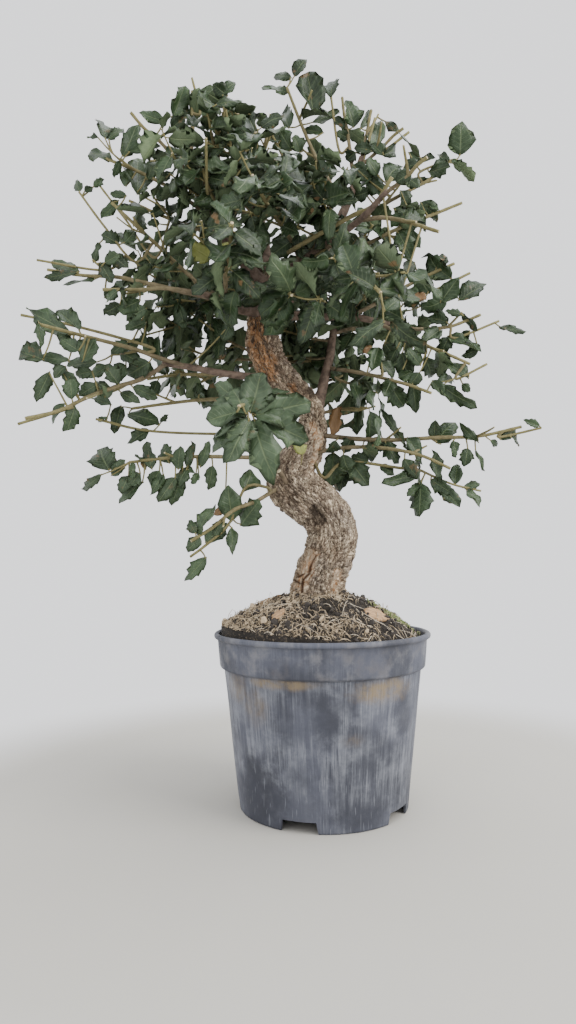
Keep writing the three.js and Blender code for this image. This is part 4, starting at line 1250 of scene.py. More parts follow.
def soil_height(x, y):
    """The mix's surface: a mound round the trunk that falls off to the rim, higher on the left,
    with lumps from crossed waves."""
    out = np.minimum(1, np.hypot(x, y) / MOUND_RADIUS)
    edge = SOIL_RIM - SOIL_LEAN * (x / MOUND_RADIUS) - 2.5 * (y / MOUND_RADIUS)
    lumps = 1.6 * np.sin(x * 0.11 + 1) * np.sin(y * 0.13) + 0.9 * np.sin(x * 0.29 - y * 0.23)
    return edge + (SOIL_TOP - edge) * (1 - out ** 1.8) + lumps * (1 - out ** 4)


def crumb_noise(x, y):
    """Layered noise from 0 to 1 that crumbles the mound."""
    return layered_noise(level_places(x, y) / CRUMB_SIZE, 4, 21)


def soil_surface():
    """The mix as one closed form, from the middle of its underside out along the pot's floor, up
    the wall and in over the mound. The mound's points rise and fall by layered noise."""
    angle = ring_angles(SOIL_COLUMNS)
    below = np.array([(30, SOIL_FLOOR), (60, SOIL_FLOOR), (71.2, SOIL_FLOOR), (76, 55), (83.9, 117),
                      (87.4, 122)])
    reach = np.concatenate([below[:, 0], np.linspace(MOUND_RADIUS - 0.1, 2, MOUND_ROWS)])[:, None]
    low = np.concatenate([below[:, 1], np.zeros(MOUND_ROWS)])[:, None]
    x = reach * np.cos(angle)
    y = reach * np.sin(angle)
    crumbs = crumb_noise(x, y)
    rise = (crumbs - 0.5) * CRUMB_SIZE * np.clip((94 - reach) / 10, 0.3, 1)
    z = np.where(low > 0, low, soil_height(x, y) + rise)
    # each point's crumb height, which the peat's painted shade in the hollows reads
    depth = np.where(low > 0, 0.5, crumbs)
    rings = np.stack([x, y, z], axis=-1)
    surface = closed_form(rings, (0, 0, SOIL_FLOOR), (0, 0, soil_height(0.0, 0.0)))
    return surface, np.concatenate([depth.ravel(), [0.5, 0.5]])


def scattered(count, seed):
    """Places spread evenly over the mound's disc, at its radius times the root of a chance."""
    chance = np.random.default_rng(seed)
    radius = (MOUND_RADIUS - 1) * np.sqrt(chance.uniform(0.02, 1, count))
    angle = chance.uniform(0, 2 * np.pi, count)
    return radius * np.cos(angle), radius * np.sin(angle), chance


def straw_share(x, y):
    """Where dry moss lies, from 0 to 1: most on the left and round the trunk, least on the right."""
    patches = layered_noise(level_places(x, y) / 17, 3, 31)
    return np.clip(0.48 - x / 75 + (patches - 0.5) * 2.6, 0.03, 1)


def fibre_paths(x, y, length, chance, lift):
    """Four-station fibres that arch over the mound: along a heading that bends from end to end,
    with the middle lifted and the ends sunk in."""
    heading = chance.uniform(0, 2 * np.pi, len(x))
    bend = chance.normal(0, 0.9, len(x))
    t = np.linspace(0, 1, 4)
    turn = heading[:, None] + bend[:, None] * t
    step = length[:, None] / 3
    px = x[:, None] + np.cumsum(np.cos(turn) * step, axis=1) - np.cos(turn[:, :1]) * step
    py = y[:, None] + np.cumsum(np.sin(turn) * step, axis=1) - np.sin(turn[:, :1]) * step
    out = np.hypot(px, py)
    squeeze = np.minimum(1, FIBRE_REACH / np.maximum(out, 1))
    px, py = px * squeeze, py * squeeze
    tip = chance.uniform(-0.2, 1, len(x))[:, None]
    arch = lift[:, None] * (np.sin(np.pi * t) + tip * t ** 2)
    pz = soil_height(px, py) + 0.2 + arch
    return np.stack([px, py, pz], axis=-1)


def add_fibres(fibres, paths, thick, taper, **values):
    """Adds three-sided fibres. taper is each station's share of the fibre's thickness."""
    fibres.tubes(paths, thick[:, None] * np.array(taper), 3, **values)


def add_straw(fibres, settings):
    """Adds dry moss and grass, as thickly as straw_share() says."""
    x, y, chance = scattered(settings.fibres, 41)
    keep = chance.uniform(0, 1, len(x)) < straw_share(x, y)
    x, y = x[keep], y[keep]
    size = settings.fibre_length / MM * chance.lognormal(0, 0.45, len(x))
    lift = chance.gamma(1.6, 1.0, len(x)) * 0.9
    paths = fibre_paths(x, y, size, chance, lift)
    thick = chance.uniform(0.15, 0.42, len(x))
    tone = np.clip(chance.normal(0.42, 0.27, len(x)), 0, 0.95)
    add_fibres(fibres, paths, thick, (0.6, 1, 0.9, 0.4), tone=tone, green=0)


def add_roots_and_moss(fibres):
    """Adds long pale roots all over the mound, a patch of green moss and longer fibres at the rim.
    One run of chances serves the three in turn."""
    x, y, chance = scattered(ROOT_COUNT, 42)
    paths = fibre_paths(x, y, chance.uniform(10, 26, len(x)), chance, chance.gamma(2, 1.2, len(x)))
    add_fibres(fibres, paths, chance.uniform(0.16, 0.34, len(x)), (1, 1, 1, 1), tone=1, green=0)
    angle = chance.uniform(0, 2 * np.pi, MOSS_COUNT)
    away = chance.normal(0, 7.5, (2, MOSS_COUNT))
    x, y = MOSS_MIDDLE[0] + away[0], MOSS_MIDDLE[1] + away[1] * 0.8
    moss = fibre_paths(x, y, chance.uniform(1.5, 4, MOSS_COUNT), chance, chance.uniform(1, 3.2, MOSS_COUNT))
    moss[:, :, 0] += 0.4 * np.cos(angle)[:, None] * np.arange(4)
    add_fibres(fibres, moss, chance.uniform(0.3, 0.6, MOSS_COUNT), (1, 1, 0.8, 0.3), tone=0.4,
               green=chance.uniform(0.5, 1, MOSS_COUNT))
    angle = chance.uniform(0, 2 * np.pi, RIM_FIBRE_COUNT)
    x, y = RIM_FIBRE_CIRCLE * np.cos(angle), RIM_FIBRE_CIRCLE * np.sin(angle)
    edge = fibre_paths(x, y, chance.uniform(5, 13, len(x)), chance, chance.uniform(2, 5, len(x)))
    add_fibres(fibres, edge, chance.uniform(0.2, 0.4, len(x)), (1, 1, 0.8, 0.4),
               tone=chance.uniform(0, 0.7, len(x)), green=0)


def add_crumbs(crumbs, settings):
    """Adds loose crumbs that lie on the mound: tubes of three uneven rings. Some are pale where
    dry moss lies."""
    x, y, chance = scattered(settings.crumbs, 43)
    size = 0.6 + chance.gamma(1.3, 0.55, len(x))
    ahead = unit(chance.normal(0, 1, (len(x), 3)))
    middle = np.stack([x, y, soil_height(x, y) + 0.25 * size], axis=-1)
    middle[:, 2] += (crumb_noise(x, y) - 0.5) * CRUMB_SIZE
    along = np.array([-0.8, 0, 0.8])
    paths = middle[:, None] + ahead[:, None] * (size[:, None] * along)[..., None]
    radii = size[:, None, None] * chance.uniform(0.45, 0.9, (len(x), 3, 5))
    radii[:, [0, 2]] *= 0.55
    light = chance.uniform(0, 1, len(x)) < 0.32 * straw_share(x, y)
    tone = np.where(light, chance.uniform(0.3, 0.75, len(x)), 0)
    crumbs.tubes(paths, radii, 5, tone=tone, green=0)


class BONSAI_OT_soil(bpy.types.Operator):
    """Make the potting mix with its crumbs, dry fibres, roots and moss"""
    bl_idname = "bonsai.soil"
    bl_label = "Potting mix"

    def execute(self, context):
        settings = context.scene.bonsai_soil
        mix = Surfaces()
        surface, depth = soil_surface()
        mix.add(*surface, depth=depth)
        mix.piece("potting_mix", [peat_finish(settings)], ["soil"], "potting_mix")
        straw = Surfaces()
        add_straw(straw, settings)
        add_roots_and_moss(straw)
        straw.piece("dry_fibres", [fibre_finish(settings)], [], "potting_mix")
        crumbs = Surfaces()
        add_crumbs(crumbs, settings)
        crumbs.piece("mix_crumbs", [fibre_finish(settings)], [], "potting_mix", sharp=35)
        return {"FINISHED"}


def flake_surface(x, y, length, width, turn, seed):
    """A curled flake: rings of one uneven outline that close in to a ridge above and below, on
    ground that follows the mound. Share s of the outline stands at height 3.2 sqrt(1 - s^4)."""
    angle = ring_angles(FLAKE_SIDES)
    corner = np.arange(FLAKE_CORNERS + 1)
    corners = 0.42 + 0.14 * draw(seed, corner % FLAKE_CORNERS, 7)
    reach = np.interp(angle, corner * 2 * np.pi / FLAKE_CORNERS, corners)
    reach = reach * (1 + 0.05 * np.sin(9 * angle + seed) + 0.03 * np.sin(17 * angle))
    share = np.array([0.3, 0.7, 0.93, 1, 0.97, 0.85, 0.6, 0.3])
    side = np.array([-0.3, -0.3, -0.3, 0.1, 0.55, 0.85, 0.95, 1.0])
    px = length * reach * np.cos(angle) * share[:, None]
    py = width * reach * np.sin(angle) * share[:, None]
    spin = math.radians(turn)
    gx = x + px * math.cos(spin) - py * math.sin(spin)
    gy = y + px * math.sin(spin) + py * math.cos(spin)
    curl = 1.2 * (py / width) ** 2 * 4
    rough = layered_noise(np.stack([gx, gy, side[:, None] + 0 * gx], axis=-1) / [4, 4, 1], 3, 51 + seed)
    gz = soil_height(gx, gy) + 0.5 + side[:, None] * 2.4 + curl + (rough - 0.5) * 0.9
    rings = np.stack([gx, gy, gz], axis=-1)
    return closed_form(rings, (x, y, gz[0].mean()), (x, y, gz[-1].mean() + 0.2))


class BONSAI_OT_flakes(bpy.types.Operator):
    """Make the loose flakes of bark that lie on the mix"""
    bl_idname = "bonsai.flakes"
    bl_label = "Bark flakes"

    def execute(self, context):
        settings = context.scene.bonsai_soil
        finish = chip_finish(settings)
        for name, node, *sizes, tone in FLAKES:
            flake = Surfaces()
            flake.add(*flake_surface(*sizes), tone=tone)
            flake.piece(name, [finish], [node], "loose_bark", sharp=50)
        return {"FINISHED"}


# Trunk and limbs

def wood_paths():
    """The centre lines of the trunk and its limbs by name."""
    wood = {"trunk": TRUNK[:, :3]}
    for i, (name, source, share, heading, rise, length, lift, _, _) in enumerate(LIMBS):
        wood[name] = course(place_on(wood[source], share)[0], heading, rise, length, lift, 100 + i)
    return wood


def trunk_rings(settings):
    """Rings round the trunk's smoothed centre line. Their radius is the trunk's radius times
    1 + relief (sin(3a + i/2) + 0.7 sin(7a - 0.9 i)), for angle a and station i. To that come
    cracked plates of cork, long along the trunk, then lumps and small flakes of layered noise."""
    line = smooth_path(TRUNK, TRUNK_ROWS)
    line[:, 3] -= TRUNK_INSET
    line[:, 0] += np.interp(line[:, 2], *TRUNK_LEAN)
    station = np.linspace(0, len(TRUNK) - 1, TRUNK_ROWS)[:, None]
    angle = ring_angles(TRUNK_COLUMNS)
    ribs = np.sin(3 * angle + 0.5 * station) + 0.7 * np.sin(7 * angle - 0.9 * station)
    radius = line[:, 3:4] * (1 + BARK_RELIEF * ribs)
    run = np.concatenate([[0], np.cumsum(np.linalg.norm(np.diff(line[:, :3], axis=0), axis=1))])
    places = round_places(line[:, 3:4], angle, run[:, None])
    bend = np.stack([layered_noise(places / 14, 2, 60 + k) for k in range(3)], axis=-1) - 0.5
    wide, tall = settings.plate_width / MM, settings.plate_length / MM
    gap, chance = plates(places / [wide, wide, tall] + bend * 1.6, 61)
    small, _ = plates(places / [wide * 0.42, wide * 0.42, tall * 0.4] + bend, 67)
    height = np.clip(gap / 0.34, 0, 1) ** 0.7
    flat = np.clip(small / 0.3, 0, 1)
    lumps = layered_noise(places / [9, 9, 22], 3, 71)
    relief = settings.relief / MM
    rise = relief * (height - 0.75) + relief * 0.55 * (chance - 0.5) * height
    rise = rise + relief * 0.35 * (flat - 0.7) * height + 2.4 * (lumps - 0.5)
    rise = rise + 2.0 * (layered_noise(places / [2.6, 2.6, 6.0], 3, 75) - 0.5)
    depth = np.clip(height * (0.55 + 0.45 * flat), 0, 1)
    rings = round_rings(line[None, :, :3], (radius + rise)[None], TRUNK_COLUMNS)[0]
    return rings, depth, places


def near_line(seen, places):
    """How far points of the picture are from a line through places: for each of its straight
    parts the nearest point is at the share where the point falls square onto it, kept within 0 to 1."""
    nearest = np.full(len(seen), 1e9)
    for start, end in zip(np.array(places[:-1], float), np.array(places[1:], float)):
        along = end - start
        share = np.clip((seen - start) @ along / (along @ along), 0, 1)
        nearest = np.minimum(nearest, np.linalg.norm(seen - start - share[:, None] * along, axis=1))
    return nearest


def trunk_marks(rings):
    """The values of the trunk's marks at each ring point: exp(-(distance / reach)^4) on the side
    that faces the viewer, with edges that wander by noise."""
    points = rings.reshape(-1, 3)
    front = (rings.mean(axis=1, keepdims=True) - rings)[..., 1].ravel()
    front = np.clip(front / 4, 0, 1)
    seen = in_picture(points)
    wander = 0.55 + 0.9 * layered_noise(points / 5, 3, 90)
    values = dict.fromkeys([mark[0] for mark in TRUNK_MARKS], 0)
    for name, reach, places in TRUNK_MARKS:
        gap = near_line(seen, places) * wander / reach
        values[name] = np.maximum(values[name], np.exp(-gap ** 4) * front)
    return {name: np.concatenate([value, [0, 0]]) for name, value in values.items()}


class BONSAI_OT_trunk(bpy.types.Operator):
    """Make the trunk in cracked cork, with its thick limbs"""
    bl_idname = "bonsai.trunk"
    bl_label = "Trunk and limbs"

    def execute(self, context):
        settings = context.scene.bonsai_wood
        rings, depth, straight = trunk_rings(settings)
        surface = closed_form(rings, rings[0].mean(axis=0), rings[-1].mean(axis=0))
        straight = np.concatenate([straight.reshape(-1, 3), straight[0, :1], straight[-1, :1]])
        tree = Surfaces()
        tree.add(*surface, depth=np.concatenate([depth.ravel(), [0, 0]]), bark_x=straight[:, 0],
                 bark_y=straight[:, 1], bark_z=straight[:, 2], **trunk_marks(rings))
        wood = wood_paths()
        for i, (name, source, share, *_, thick, thin) in enumerate(LIMBS):
            line = smooth_path(wood[name], LIMB_ROWS)
            run = np.linspace(0, length_of(wood[name]), LIMB_ROWS)
            inside = np.interp(share, np.linspace(0, 1, len(TRUNK)), TRUNK[:, 3]) if source == "trunk" else 0
            flare = 1 + 0.7 * np.exp(-np.maximum(0, run - inside + 1) / 6)
            radius = np.linspace(thick, thin, LIMB_ROWS) * flare * LIMB_SLIMNESS
            lumps = layered_noise(line[:, None] / 5 + np.arange(LIMB_SIDES)[:, None] * 0.37, 3, 80 + i)
            radii = radius[:, None] * (1 + 0.34 * (lumps - 0.5))
            tree.tubes(line[None], radii[None], LIMB_SIDES, (1, 1), young=0)
        tree.piece("trunk_and_limbs", [cork_finish(settings), limb_finish(settings)], ["trunk"], "cork_bark")
        return {"FINISHED"}


# Branches

def twigs_of(points, heading, rise, length, bare, seed):
    """The side twigs of a branch, on alternate sides, or all round it where it is steep."""
    count = max(1, round(length / TWIG_EVERY))
    twigs = []
    for j in range(count):
        share = (0.25 + 0.65 * (j + 0.5) / count) * (1 - bare)
        spread = 38 + 24 * draw(seed, j, 3)
        turn = GOLDEN * j if abs(rise) > STEEP else spread * (1 if j % 2 else -1)
        climb = rise * 0.6 + 40 * (draw(seed, j, 4) - 0.35)
        reach = TWIG_LENGTH * (0.65 + 0.5 * draw(seed, j, 5)) * (1 - 0.4 * share)
        twigs.append(course(place_on(points, share)[0], heading + turn, climb, reach, 10, seed * 10 + j, 2))
    return twigs


def leafiness(place, fullness):
    """The chance that a leaf grows at a place: 1 in the crown's dense middle, an ellipsoid, and
    less with the distance from it, times the branch's own fullness outside it."""
    away = np.linalg.norm((place - DENSE) / DENSE_REACH)
    spread = max(0.35, 1.25 - 0.55 * away)
    if away < 0.8:
        return 1.0
    return spread * (0.5 + 0.5 * fullness if away < 1 else fullness)


def sprigs_of(points, start, end, seed, fullness):
    """Short shoots round a stem, a golden angle apart, that leave it at about 50 degrees."""
    length = length_of(points)
    count = int(length * (end - start) / SPRIG_EVERY)
    sprigs = []
    for j in range(count):
        share = start + (end - start) * (j + 0.6) / max(1, count)
        place, along = place_on(points, share)
        if draw(seed, j, 23) > leafiness(place, fullness):
            continue
        side = across_from(UP + 0.01 * RIGHT, along)
        other = np.cross(along, side)
        turn = math.radians(GOLDEN * j + 360 * draw(seed, j, 21))
        away = side * math.cos(turn) + other * math.sin(turn)
        out = unit(place - CROWN)
        ahead = unit(along * 0.7 + away * 0.8 + UP * 0.25 + out * 0.2)
        reach = SPRIG_LENGTH * (0.6 + 0.8 * draw(seed, j, 22))
        bend = unit(ahead + 0.25 * UP + 0.15 * along)
        sprigs.append(np.array([place, place + ahead * reach * 0.5, place + (ahead + bend) * reach * 0.5]))
    return sprigs


def tufts_of(points, start, end, seed, fullness):
    """The leaves of one shoot, from its tip back, in tufts of three: one ahead and one to either
    side, in a plane that faces ahead, up and out of the crown. Behind the first tuft some leaves
    are missing. Gives a stalk's foot, an axis, a facing and a size for each leaf."""
    length = length_of(points)
    count = max(1, round(length * (end - start) / TUFT_STEP))
    leaves = []
    for i in range(count):
        place, along = place_on(points, end - (end - start) * i / count - STALK / 2 / length)
        outward = unit(place - CROWN)
        chance = draw(seed, i, np.arange(8, 11)) - 0.5
        facing = unit(along * 0.7 + UP * 0.6 + outward * 0.4 + chance * 1.4)
        ahead = across_from(along + outward * 0.2, facing)
        across = np.cross(ahead, facing)
        lean = 0 if i == 0 and end == 1 else (42 if i % 2 else -42)
        for k, opened in enumerate((0, 108, -108)):
            angle = math.radians(lean + opened + 16 * (draw(seed, i, 11 + k) - 0.5))
            tilt = 0.7 * draw(seed, i, 14 + k) - 0.4
            axis = unit(ahead * math.cos(angle) + across * math.sin(angle) + facing * tilt)
            if (i or fullness < SPARSE) and draw(seed, i, 24 + k) > leafiness(place, fullness):
                continue
            size = (0.75 + 0.45 * draw(seed, i, 17 + k)) * (SMALL_LEAVES if place[2] > 440 else 1)
            foot = place - along * min(k * 2.6, length * 0.3)
            loose = draw(seed, i, np.array([40, 43, 46]) + k) - 0.5
            wide = 0.80 + 0.34 * draw(seed, i, 49 + k)
            stalk = 2 + 2 * draw(seed, i, 52 + k)
            axis, faces = unit(axis + loose * 0.35), unit(facing + loose[::-1] * 1.5)
            leaves.append((foot, axis, faces, size, wide, stalk, 0, 0))
    return leaves


def nearest_place(shoots, x, y):
    """The point of a branch's shoots that the viewer sees nearest to x, y."""
    places = np.concatenate([smooth_path(points, 24) for points in shoots])
    return places[np.argmin(np.linalg.norm(in_picture(places) - [x, y], axis=1))]


def marked_shoot(shoots, forward, places):
    """A shoot through places of the picture, which starts on its branch and comes forward evenly."""
    start = nearest_place(shoots, *places[0])
    depths = start[1] - forward * np.linspace(0.3, 1, len(places))
    return np.array([start] + [seen_at(x, y, depth) for (x, y), depth in zip(places, depths)])


def marked_leaf(branch, shoots, seed, x, y, tip_x, tip_y, wide, settings, yellow, dead):
    """One leaf seen at a given place. It hangs at the depth of the nearest point of its branch's
    shoots, or a little in front or behind where the trunk is, and a thin stalk joins it to that
    point. Its tip leans to or from the viewer."""
    nearest = nearest_place(shoots, x, y)
    chance = draw(seed, np.arange(6), 61) - 0.5
    for deeper in LEAF_DEPTHS:
        foot = seen_at(x, y, nearest[1] + 5 * chance[0] + deeper)
        flat = np.linalg.norm(seen_at(tip_x, tip_y, foot[1]) - foot)
        tip = seen_at(tip_x, tip_y, foot[1] + 0.9 * chance[1] * flat)
        if off_the_trunk(np.array([(foot + tip) / 2, tip]), TWIG_CLEAR):
            break
    size = np.linalg.norm(tip - foot)
    middle = (nearest + foot) / 2 - UP * 0.04 * np.linalg.norm(foot - nearest)
    add_stem(branch, np.array([nearest, middle, foot + (tip - foot) * 0.06]), *SPRIG_SHAPE)
    facing = unit(CAMERA_AT - foot) + 0.35 * UP + chance[2:5] * 0.9
    broad = wide / max(1.0, math.hypot(tip_x - x, tip_y - y)) * flat / size / settings.width
    return foot, unit(tip - foot), unit(facing), size / (settings.blade / MM), broad, 0.3, yellow, dead


def blade_rings(foot, axis, facing, size, width, tooth, thick, chance):
    """Closed toothed blades, as tubes of eight points round. At share v of the length the half
    width is sin(pi v^0.9)^0.75 times a tooth or a bay. A point at u from -1 to 1 across stands
    off the axis by u times the half width and rises by a fold (by |u|), a curl (by v squared)
    and a wave of the edge (by u squared), and the blade turns about its axis with v."""
    v = BLADE_ROWS[None, :, None]
    u = BLADE_ACROSS[None, None, :]
    fold, curl, wave, phase, twist, jag, lop = (chance[:, k][:, None, None] for k in range(7))
    full = np.sin(np.pi * v ** 0.9) ** 0.75
    teeth = np.where(u > 0, BLADE_TEETH[None, :, None], BLADE_TEETH[None, ::-1, None] * 0.8)
    teeth = teeth * tooth * (0.3 + 1.5 * jag)
    uneven = 1 + 0.10 * np.sin(9 * v + 30 * phase + 2 * u)
    half = (size * width)[:, None, None] / 2 * full
    reach = u * half * np.where(np.abs(u) == 1, (1 + teeth) * uneven, 1)
    pushed = v + np.where(np.abs(u) == 1, 0.25 * teeth, 0)
    edge = np.abs(u) ** 1.5
    length = size[:, None, None]
    rise = half * np.abs(u) * (0.95 * fold - 0.15)
    rise = rise - length * (0.7 * curl - 0.18) * (v - 0.1) ** 2
    rise = rise + length * (0.03 + 0.09 * wave) * edge * np.sin(9 * v + 20 * phase + 2.2 * u * lop)
    rise = rise + BLADE_SIDE[None, None] * thick / 2 * full ** 0.5
    normal = across_from(facing, axis)
    across = np.cross(axis, normal)
    turn = (twist - 0.5) * 2.2 * (v - 0.2)
    sideways = reach * np.cos(turn) - rise * np.sin(turn)
    upward = reach * np.sin(turn) + rise * np.cos(turn)
    start = foot[:, None, None]
    rings = (start + axis[:, None, None] * (pushed * length)[..., None]
             + across[:, None, None] * sideways[..., None] + normal[:, None, None] * upward[..., None])
    droop = size * (0.7 * chance[:, 1] - 0.18)
    tip = foot + axis * size[:, None] - normal * (droop * 0.81)[:, None]
    return rings, foot, tip


def clear_places(places, spare):
    """True for each place that stands clear of the trunk's bark by more than spare."""
    line = smooth_path(TRUNK, 90)
    gap = np.linalg.norm(places[:, None] - line[None, :, :3], axis=-1) - line[None, :, 3]
    return gap.min(axis=1) > spare


def off_the_trunk(places, spare):
    """Whether all places stand clear of the trunk's bark by more than spare."""
    return clear_places(places, spare).all()


def add_leaves(branch, leaves, settings, seed, sage):
    """Adds leaves with their stalks to a branch, apart from leaves that would touch the trunk."""
    foot, axis, facing = (np.array([leaf[k] for leaf in leaves]) for k in range(3))
    size, wide, stalk, yellow, dead = np.array([leaf[3:] for leaf in leaves]).T
    size = size * settings.blade / MM
    chance = draw(seed + 7.0, np.arange(len(foot))[:, None], np.arange(30, 40)[None])
    ends = foot + axis * size[:, None]
    clear = clear_places((foot + ends) / 2, LEAF_CLEAR) & clear_places(ends, LEAF_CLEAR)
    foot, axis, facing, size, wide, stalk, yellow, dead, chance = (
        values[clear] for values in (foot, axis, facing, size, wide, stalk, yellow, dead, chance))
    count, rows, sides = len(foot), len(BLADE_ROWS), len(BLADE_ACROSS)
    start = foot + axis * stalk[:, None]
    rings, first, tip = blade_rings(start, axis, facing, size, settings.width * wide, settings.tooth,
                                    settings.thickness / MM, chance)
    quads, triangles = tube_faces(count, rows, sides)
    slots = [np.tile(np.where(np.arange(faces * sides) % sides >= 4, LOWER_SLOT, UPPER_SLOT), count)
             for faces in (rows - 1, 2)]
    across = np.append(np.tile(BLADE_ACROSS, rows), [0, 0])
    along = np.append(np.repeat(BLADE_ROWS, sides), [0, 1])
    each = len(along)
    branch.add(tube_points(rings, first, tip), quads, triangles, slots, across=np.tile(across, count),
               along=np.tile(along, count), tone=np.repeat(chance[:, 9], each),
               yellow=np.repeat(yellow, each), dead=np.repeat(dead, each), sage=sage)
    paths = np.stack([foot, foot + axis * stalk[:, None] * 0.5, start + axis], axis=1)
    branch.tubes(paths, np.full((count, 3), 0.55), 3, young=1)
    return count


def add_stem(branch, points, thick, thin, sides, rows, young):
    """Adds a round shoot that swells at its leaf scars: bark round it, cut wood at its ends."""
    line = smooth_path(points, rows)[None]
    run = np.linspace(0, length_of(points), rows)
    swell = 1 + 0.16 * np.clip(np.cos(run * 2 * np.pi / SCAR_EVERY) - 0.3, 0, 1)
    radius = np.linspace(thick, thin, rows) * swell
    young = np.linspace(*young, rows)
    branch.tubes(line, radius[None], sides, (BARK_SLOT, CUT_SLOT), young=young[None])


def add_shoots(branch, seed, row, wood):
    """Adds a branch's stem, side twigs, inner shoots and sprigs. Gives the paths of all but the
    sprigs, and the leaves of all. Each shoot draws its chances from a seed of its own."""
    name, source, share, heading, rise, length, lift, bare = row
    full = FULLNESS.get(name, 1)
    points = course(place_on(wood[source], share)[0], heading, rise, length, lift, seed)
    if name in CUT_BACK:
        points = smooth_path(points, CUT_STEPS)[:CUT_BACK[name]:6]
    add_stem(branch, points, 1.3 + 0.006 * length, 1.3, 7, 40, (0.15, 0.9))
    leaves = tufts_of(points, 0.3, 1 - bare, seed * 20, full)
    shoots = [(points, 0.28, 1 - bare, seed * 20)]
    for j, twig in enumerate(twigs_of(points, heading, rise, length, bare, seed)):
        if full < SPARSE:
            twig = smooth_path(twig, 20)[:13:3]
        if off_the_trunk(twig[1:], TWIG_CLEAR):
            add_stem(branch, twig, *TWIG_SHAPE)
            leaves += tufts_of(twig, 0.2, 1, seed * 20 + j + 1, full)
            shoots.append((twig, 0.25, 0.9, seed * 20 + j + 1))
    for j, (owner, source, share, heading, rise, length) in enumerate(INNER_SHOOTS):
        if owner == name:
            shoot = course(place_on(wood[source], share)[0], heading, rise, length, 10, 200 + j, 4)
            add_stem(branch, shoot, *INNER_SHAPE)
            leaves += tufts_of(shoot, 0.15, 1, 5000 + j, 1)
            shoots.append((shoot, 0.2, 0.95, 5000 + j))
    for shoot in shoots:
        for j, sprig in enumerate(sprigs_of(*shoot, full)):
            if off_the_trunk(sprig[1:], TWIG_CLEAR):
                add_stem(branch, sprig, *SPRIG_SHAPE)
                leaves += tufts_of(sprig, 0.45, 1, 3000 + shoot[3] * 10 + j, full)
    return [shoot[0] for shoot in shoots], leaves


def add_marked(branch, seed, name, lines, settings):
    """Adds a branch's marked shoots, and the stalks of its marked leaves, which it gives."""
    for forward, thick, places in MARKED_SHOOTS.get(name, []):
        lines.append(marked_shoot(lines, forward, places))
        young = (0.05, 0.2) if thick > 2.5 else (0.55, 0.95)
        add_stem(branch, lines[-1], thick, thick * 0.8, 7, 20, young)
    leaves = []
    for table, yellow, dead in ((MARKED_LEAVES, 0, 0), (YOUNG_LEAVES, 1, 0), (DEAD_LEAVES, 0, 1)):
        for seen in table.get(name, []):
            own_seed = seed * 60 + len(leaves) + 1
            leaves.append(marked_leaf(branch, lines, own_seed, *seen, settings, yellow, dead))
    return leaves


class BONSAI_OT_branches(bpy.types.Operator):
    """Make each leafy branch: its stem, side twigs, sprigs and leaves"""
    bl_idname = "bonsai.branches"
    bl_label = "Leafy branches"

    def execute(self, context):
        wood_settings = context.scene.bonsai_wood
        settings = context.scene.bonsai_leaf
        finishes = [
            limb_finish(wood_settings),
            cut_finish(wood_settings),
            blade_finish(settings, "leaf_upper", settings.upper, settings.vein, False),
            blade_finish(settings, "leaf_lower", settings.lower, settings.vein, True),
        ]
        finishes[0].name = "shoot_bark"
        wood = wood_paths()
        leaf_count = 0
        for i, row in enumerate(BRANCHES):
            name = row[0]
            branch = Surfaces()
            lines, leaves = add_shoots(branch, i, row, wood)
            leaves += add_marked(branch, i, name, lines, settings)
            leaf_count += add_leaves(branch, leaves, settings, i, SAGE.get(name, 0))
            branch.piece("leafy_" + name, finishes, ["branch_" + name], "foliage")
        print("leaves:", leaf_count)
        return {"FINISHED"}


# Stage

def floor_mesh():
    """A flat disc about +Z, in rings of growing radius."""
    reach = np.concatenate([np.linspace(0.02, 0.6, 16), np.geomspace(0.7, 12, 14)]) / MM
    points = round_places(reach[:, None], ring_angles(FLOOR_SIDES), -FLOOR_DROP).reshape(-1, 3) * MM
    row, side = np.divmod(np.arange((len(reach) - 1) * FLOOR_SIDES), FLOOR_SIDES)
    a, b = row * FLOOR_SIDES + side, row * FLOOR_SIDES + (side + 1) % FLOOR_SIDES
    quads = np.stack([a, a + FLOOR_SIDES, b + FLOOR_SIDES, b], axis=-1).tolist()
    mesh = bpy.data.meshes.new("pale_floor")
    mesh.from_pydata(points.tolist(), [], quads + [list(range(FLOOR_SIDES))])
    return mesh


def soft_light(name, place_at, size, power, colour):
    """A square soft light that faces the tree."""
    light = bpy.data.lights.new(name, "AREA")
    light.size = size
    light.energy = power
    light.color = colour
    lamp = linked(name, light)
    lamp.location = place_at
    lamp.rotation_euler = (Vector(LIGHT_AIM) - Vector(place_at)).to_track_quat("-Z", "Y").to_euler()


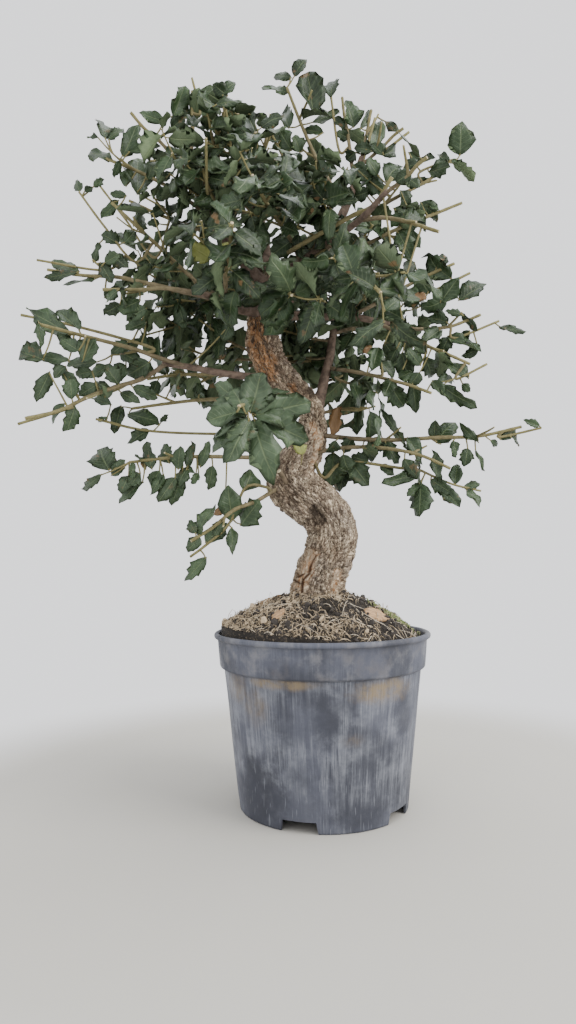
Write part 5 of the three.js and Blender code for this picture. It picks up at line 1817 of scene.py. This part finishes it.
class BONSAI_OT_stage(bpy.types.Operator):
    """Set up the floor, the daylight, the soft lights and the camera"""
    bl_idname = "bonsai.stage"
    bl_label = "Floor, light and camera"

    def execute(self, context):
        settings = context.scene.bonsai_stage
        floor = linked("pale_floor", floor_mesh())
        floor.data.materials.append(floor_finish(settings))

        world = bpy.data.worlds.new("daylight")
        world.use_nodes = True
        sky = world.node_tree.nodes["Background"]
        sky.inputs["Color"].default_value = (*settings.wall, 1)
        sky.inputs["Strength"].default_value = settings.daylight
        context.scene.world = world
        for name, place_at, size, share, colour in LIGHTS:
            soft_light(name, place_at, size, settings.key_power * share, colour)

        data = bpy.data.cameras.new("viewer")
        data.lens = settings.lens
        data.sensor_width = 36
        camera = linked("viewer", data)
        right, top, ahead = (Vector(axis) for axis in camera_axes())
        turn = Matrix((right, top, -ahead)).transposed().to_4x4()
        camera.matrix_world = Matrix.Translation(CAMERA_AT * MM) @ turn
        context.scene.camera = camera
        return {"FINISHED"}


# Add-on

OPERATORS = [BONSAI_OT_pot, BONSAI_OT_soil, BONSAI_OT_flakes, BONSAI_OT_trunk, BONSAI_OT_branches,
             BONSAI_OT_stage]


class BONSAI_PT_parts(bpy.types.Panel):
    """Lists the bonsai's pieces in the sidebar"""
    bl_idname = "BONSAI_PT_parts"
    bl_label = "Cork oak bonsai"
    bl_space_type = "VIEW_3D"
    bl_region_type = "UI"
    bl_category = "Bonsai"

    def draw(self, context):
        for operator in OPERATORS:
            self.layout.operator(operator.bl_idname)
        for key in SETTINGS:
            box = self.layout.box()
            group = getattr(context.scene, key)
            for prop in type(group).__annotations__:
                box.prop(group, prop)


def register():
    """Registers the settings, the operators and the panel."""
    for key, group in SETTINGS.items():
        bpy.utils.register_class(group)
        setattr(bpy.types.Scene, key, PointerProperty(type=group))
    for item in [*OPERATORS, BONSAI_PT_parts]:
        bpy.utils.register_class(item)


def unregister():
    """Takes out all that register() added."""
    for item in [BONSAI_PT_parts, *reversed(OPERATORS)]:
        bpy.utils.unregister_class(item)
    for key, group in SETTINGS.items():
        delattr(bpy.types.Scene, key)
        bpy.utils.unregister_class(group)


def main():
    """Builds the bonsai and its stage."""
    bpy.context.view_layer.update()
    register()
    bpy.ops.bonsai.pot()
    bpy.ops.bonsai.soil()
    bpy.ops.bonsai.flakes()
    bpy.ops.bonsai.trunk()
    bpy.ops.bonsai.branches()
    bpy.ops.bonsai.stage()


if __name__ == "__main__":
    main()
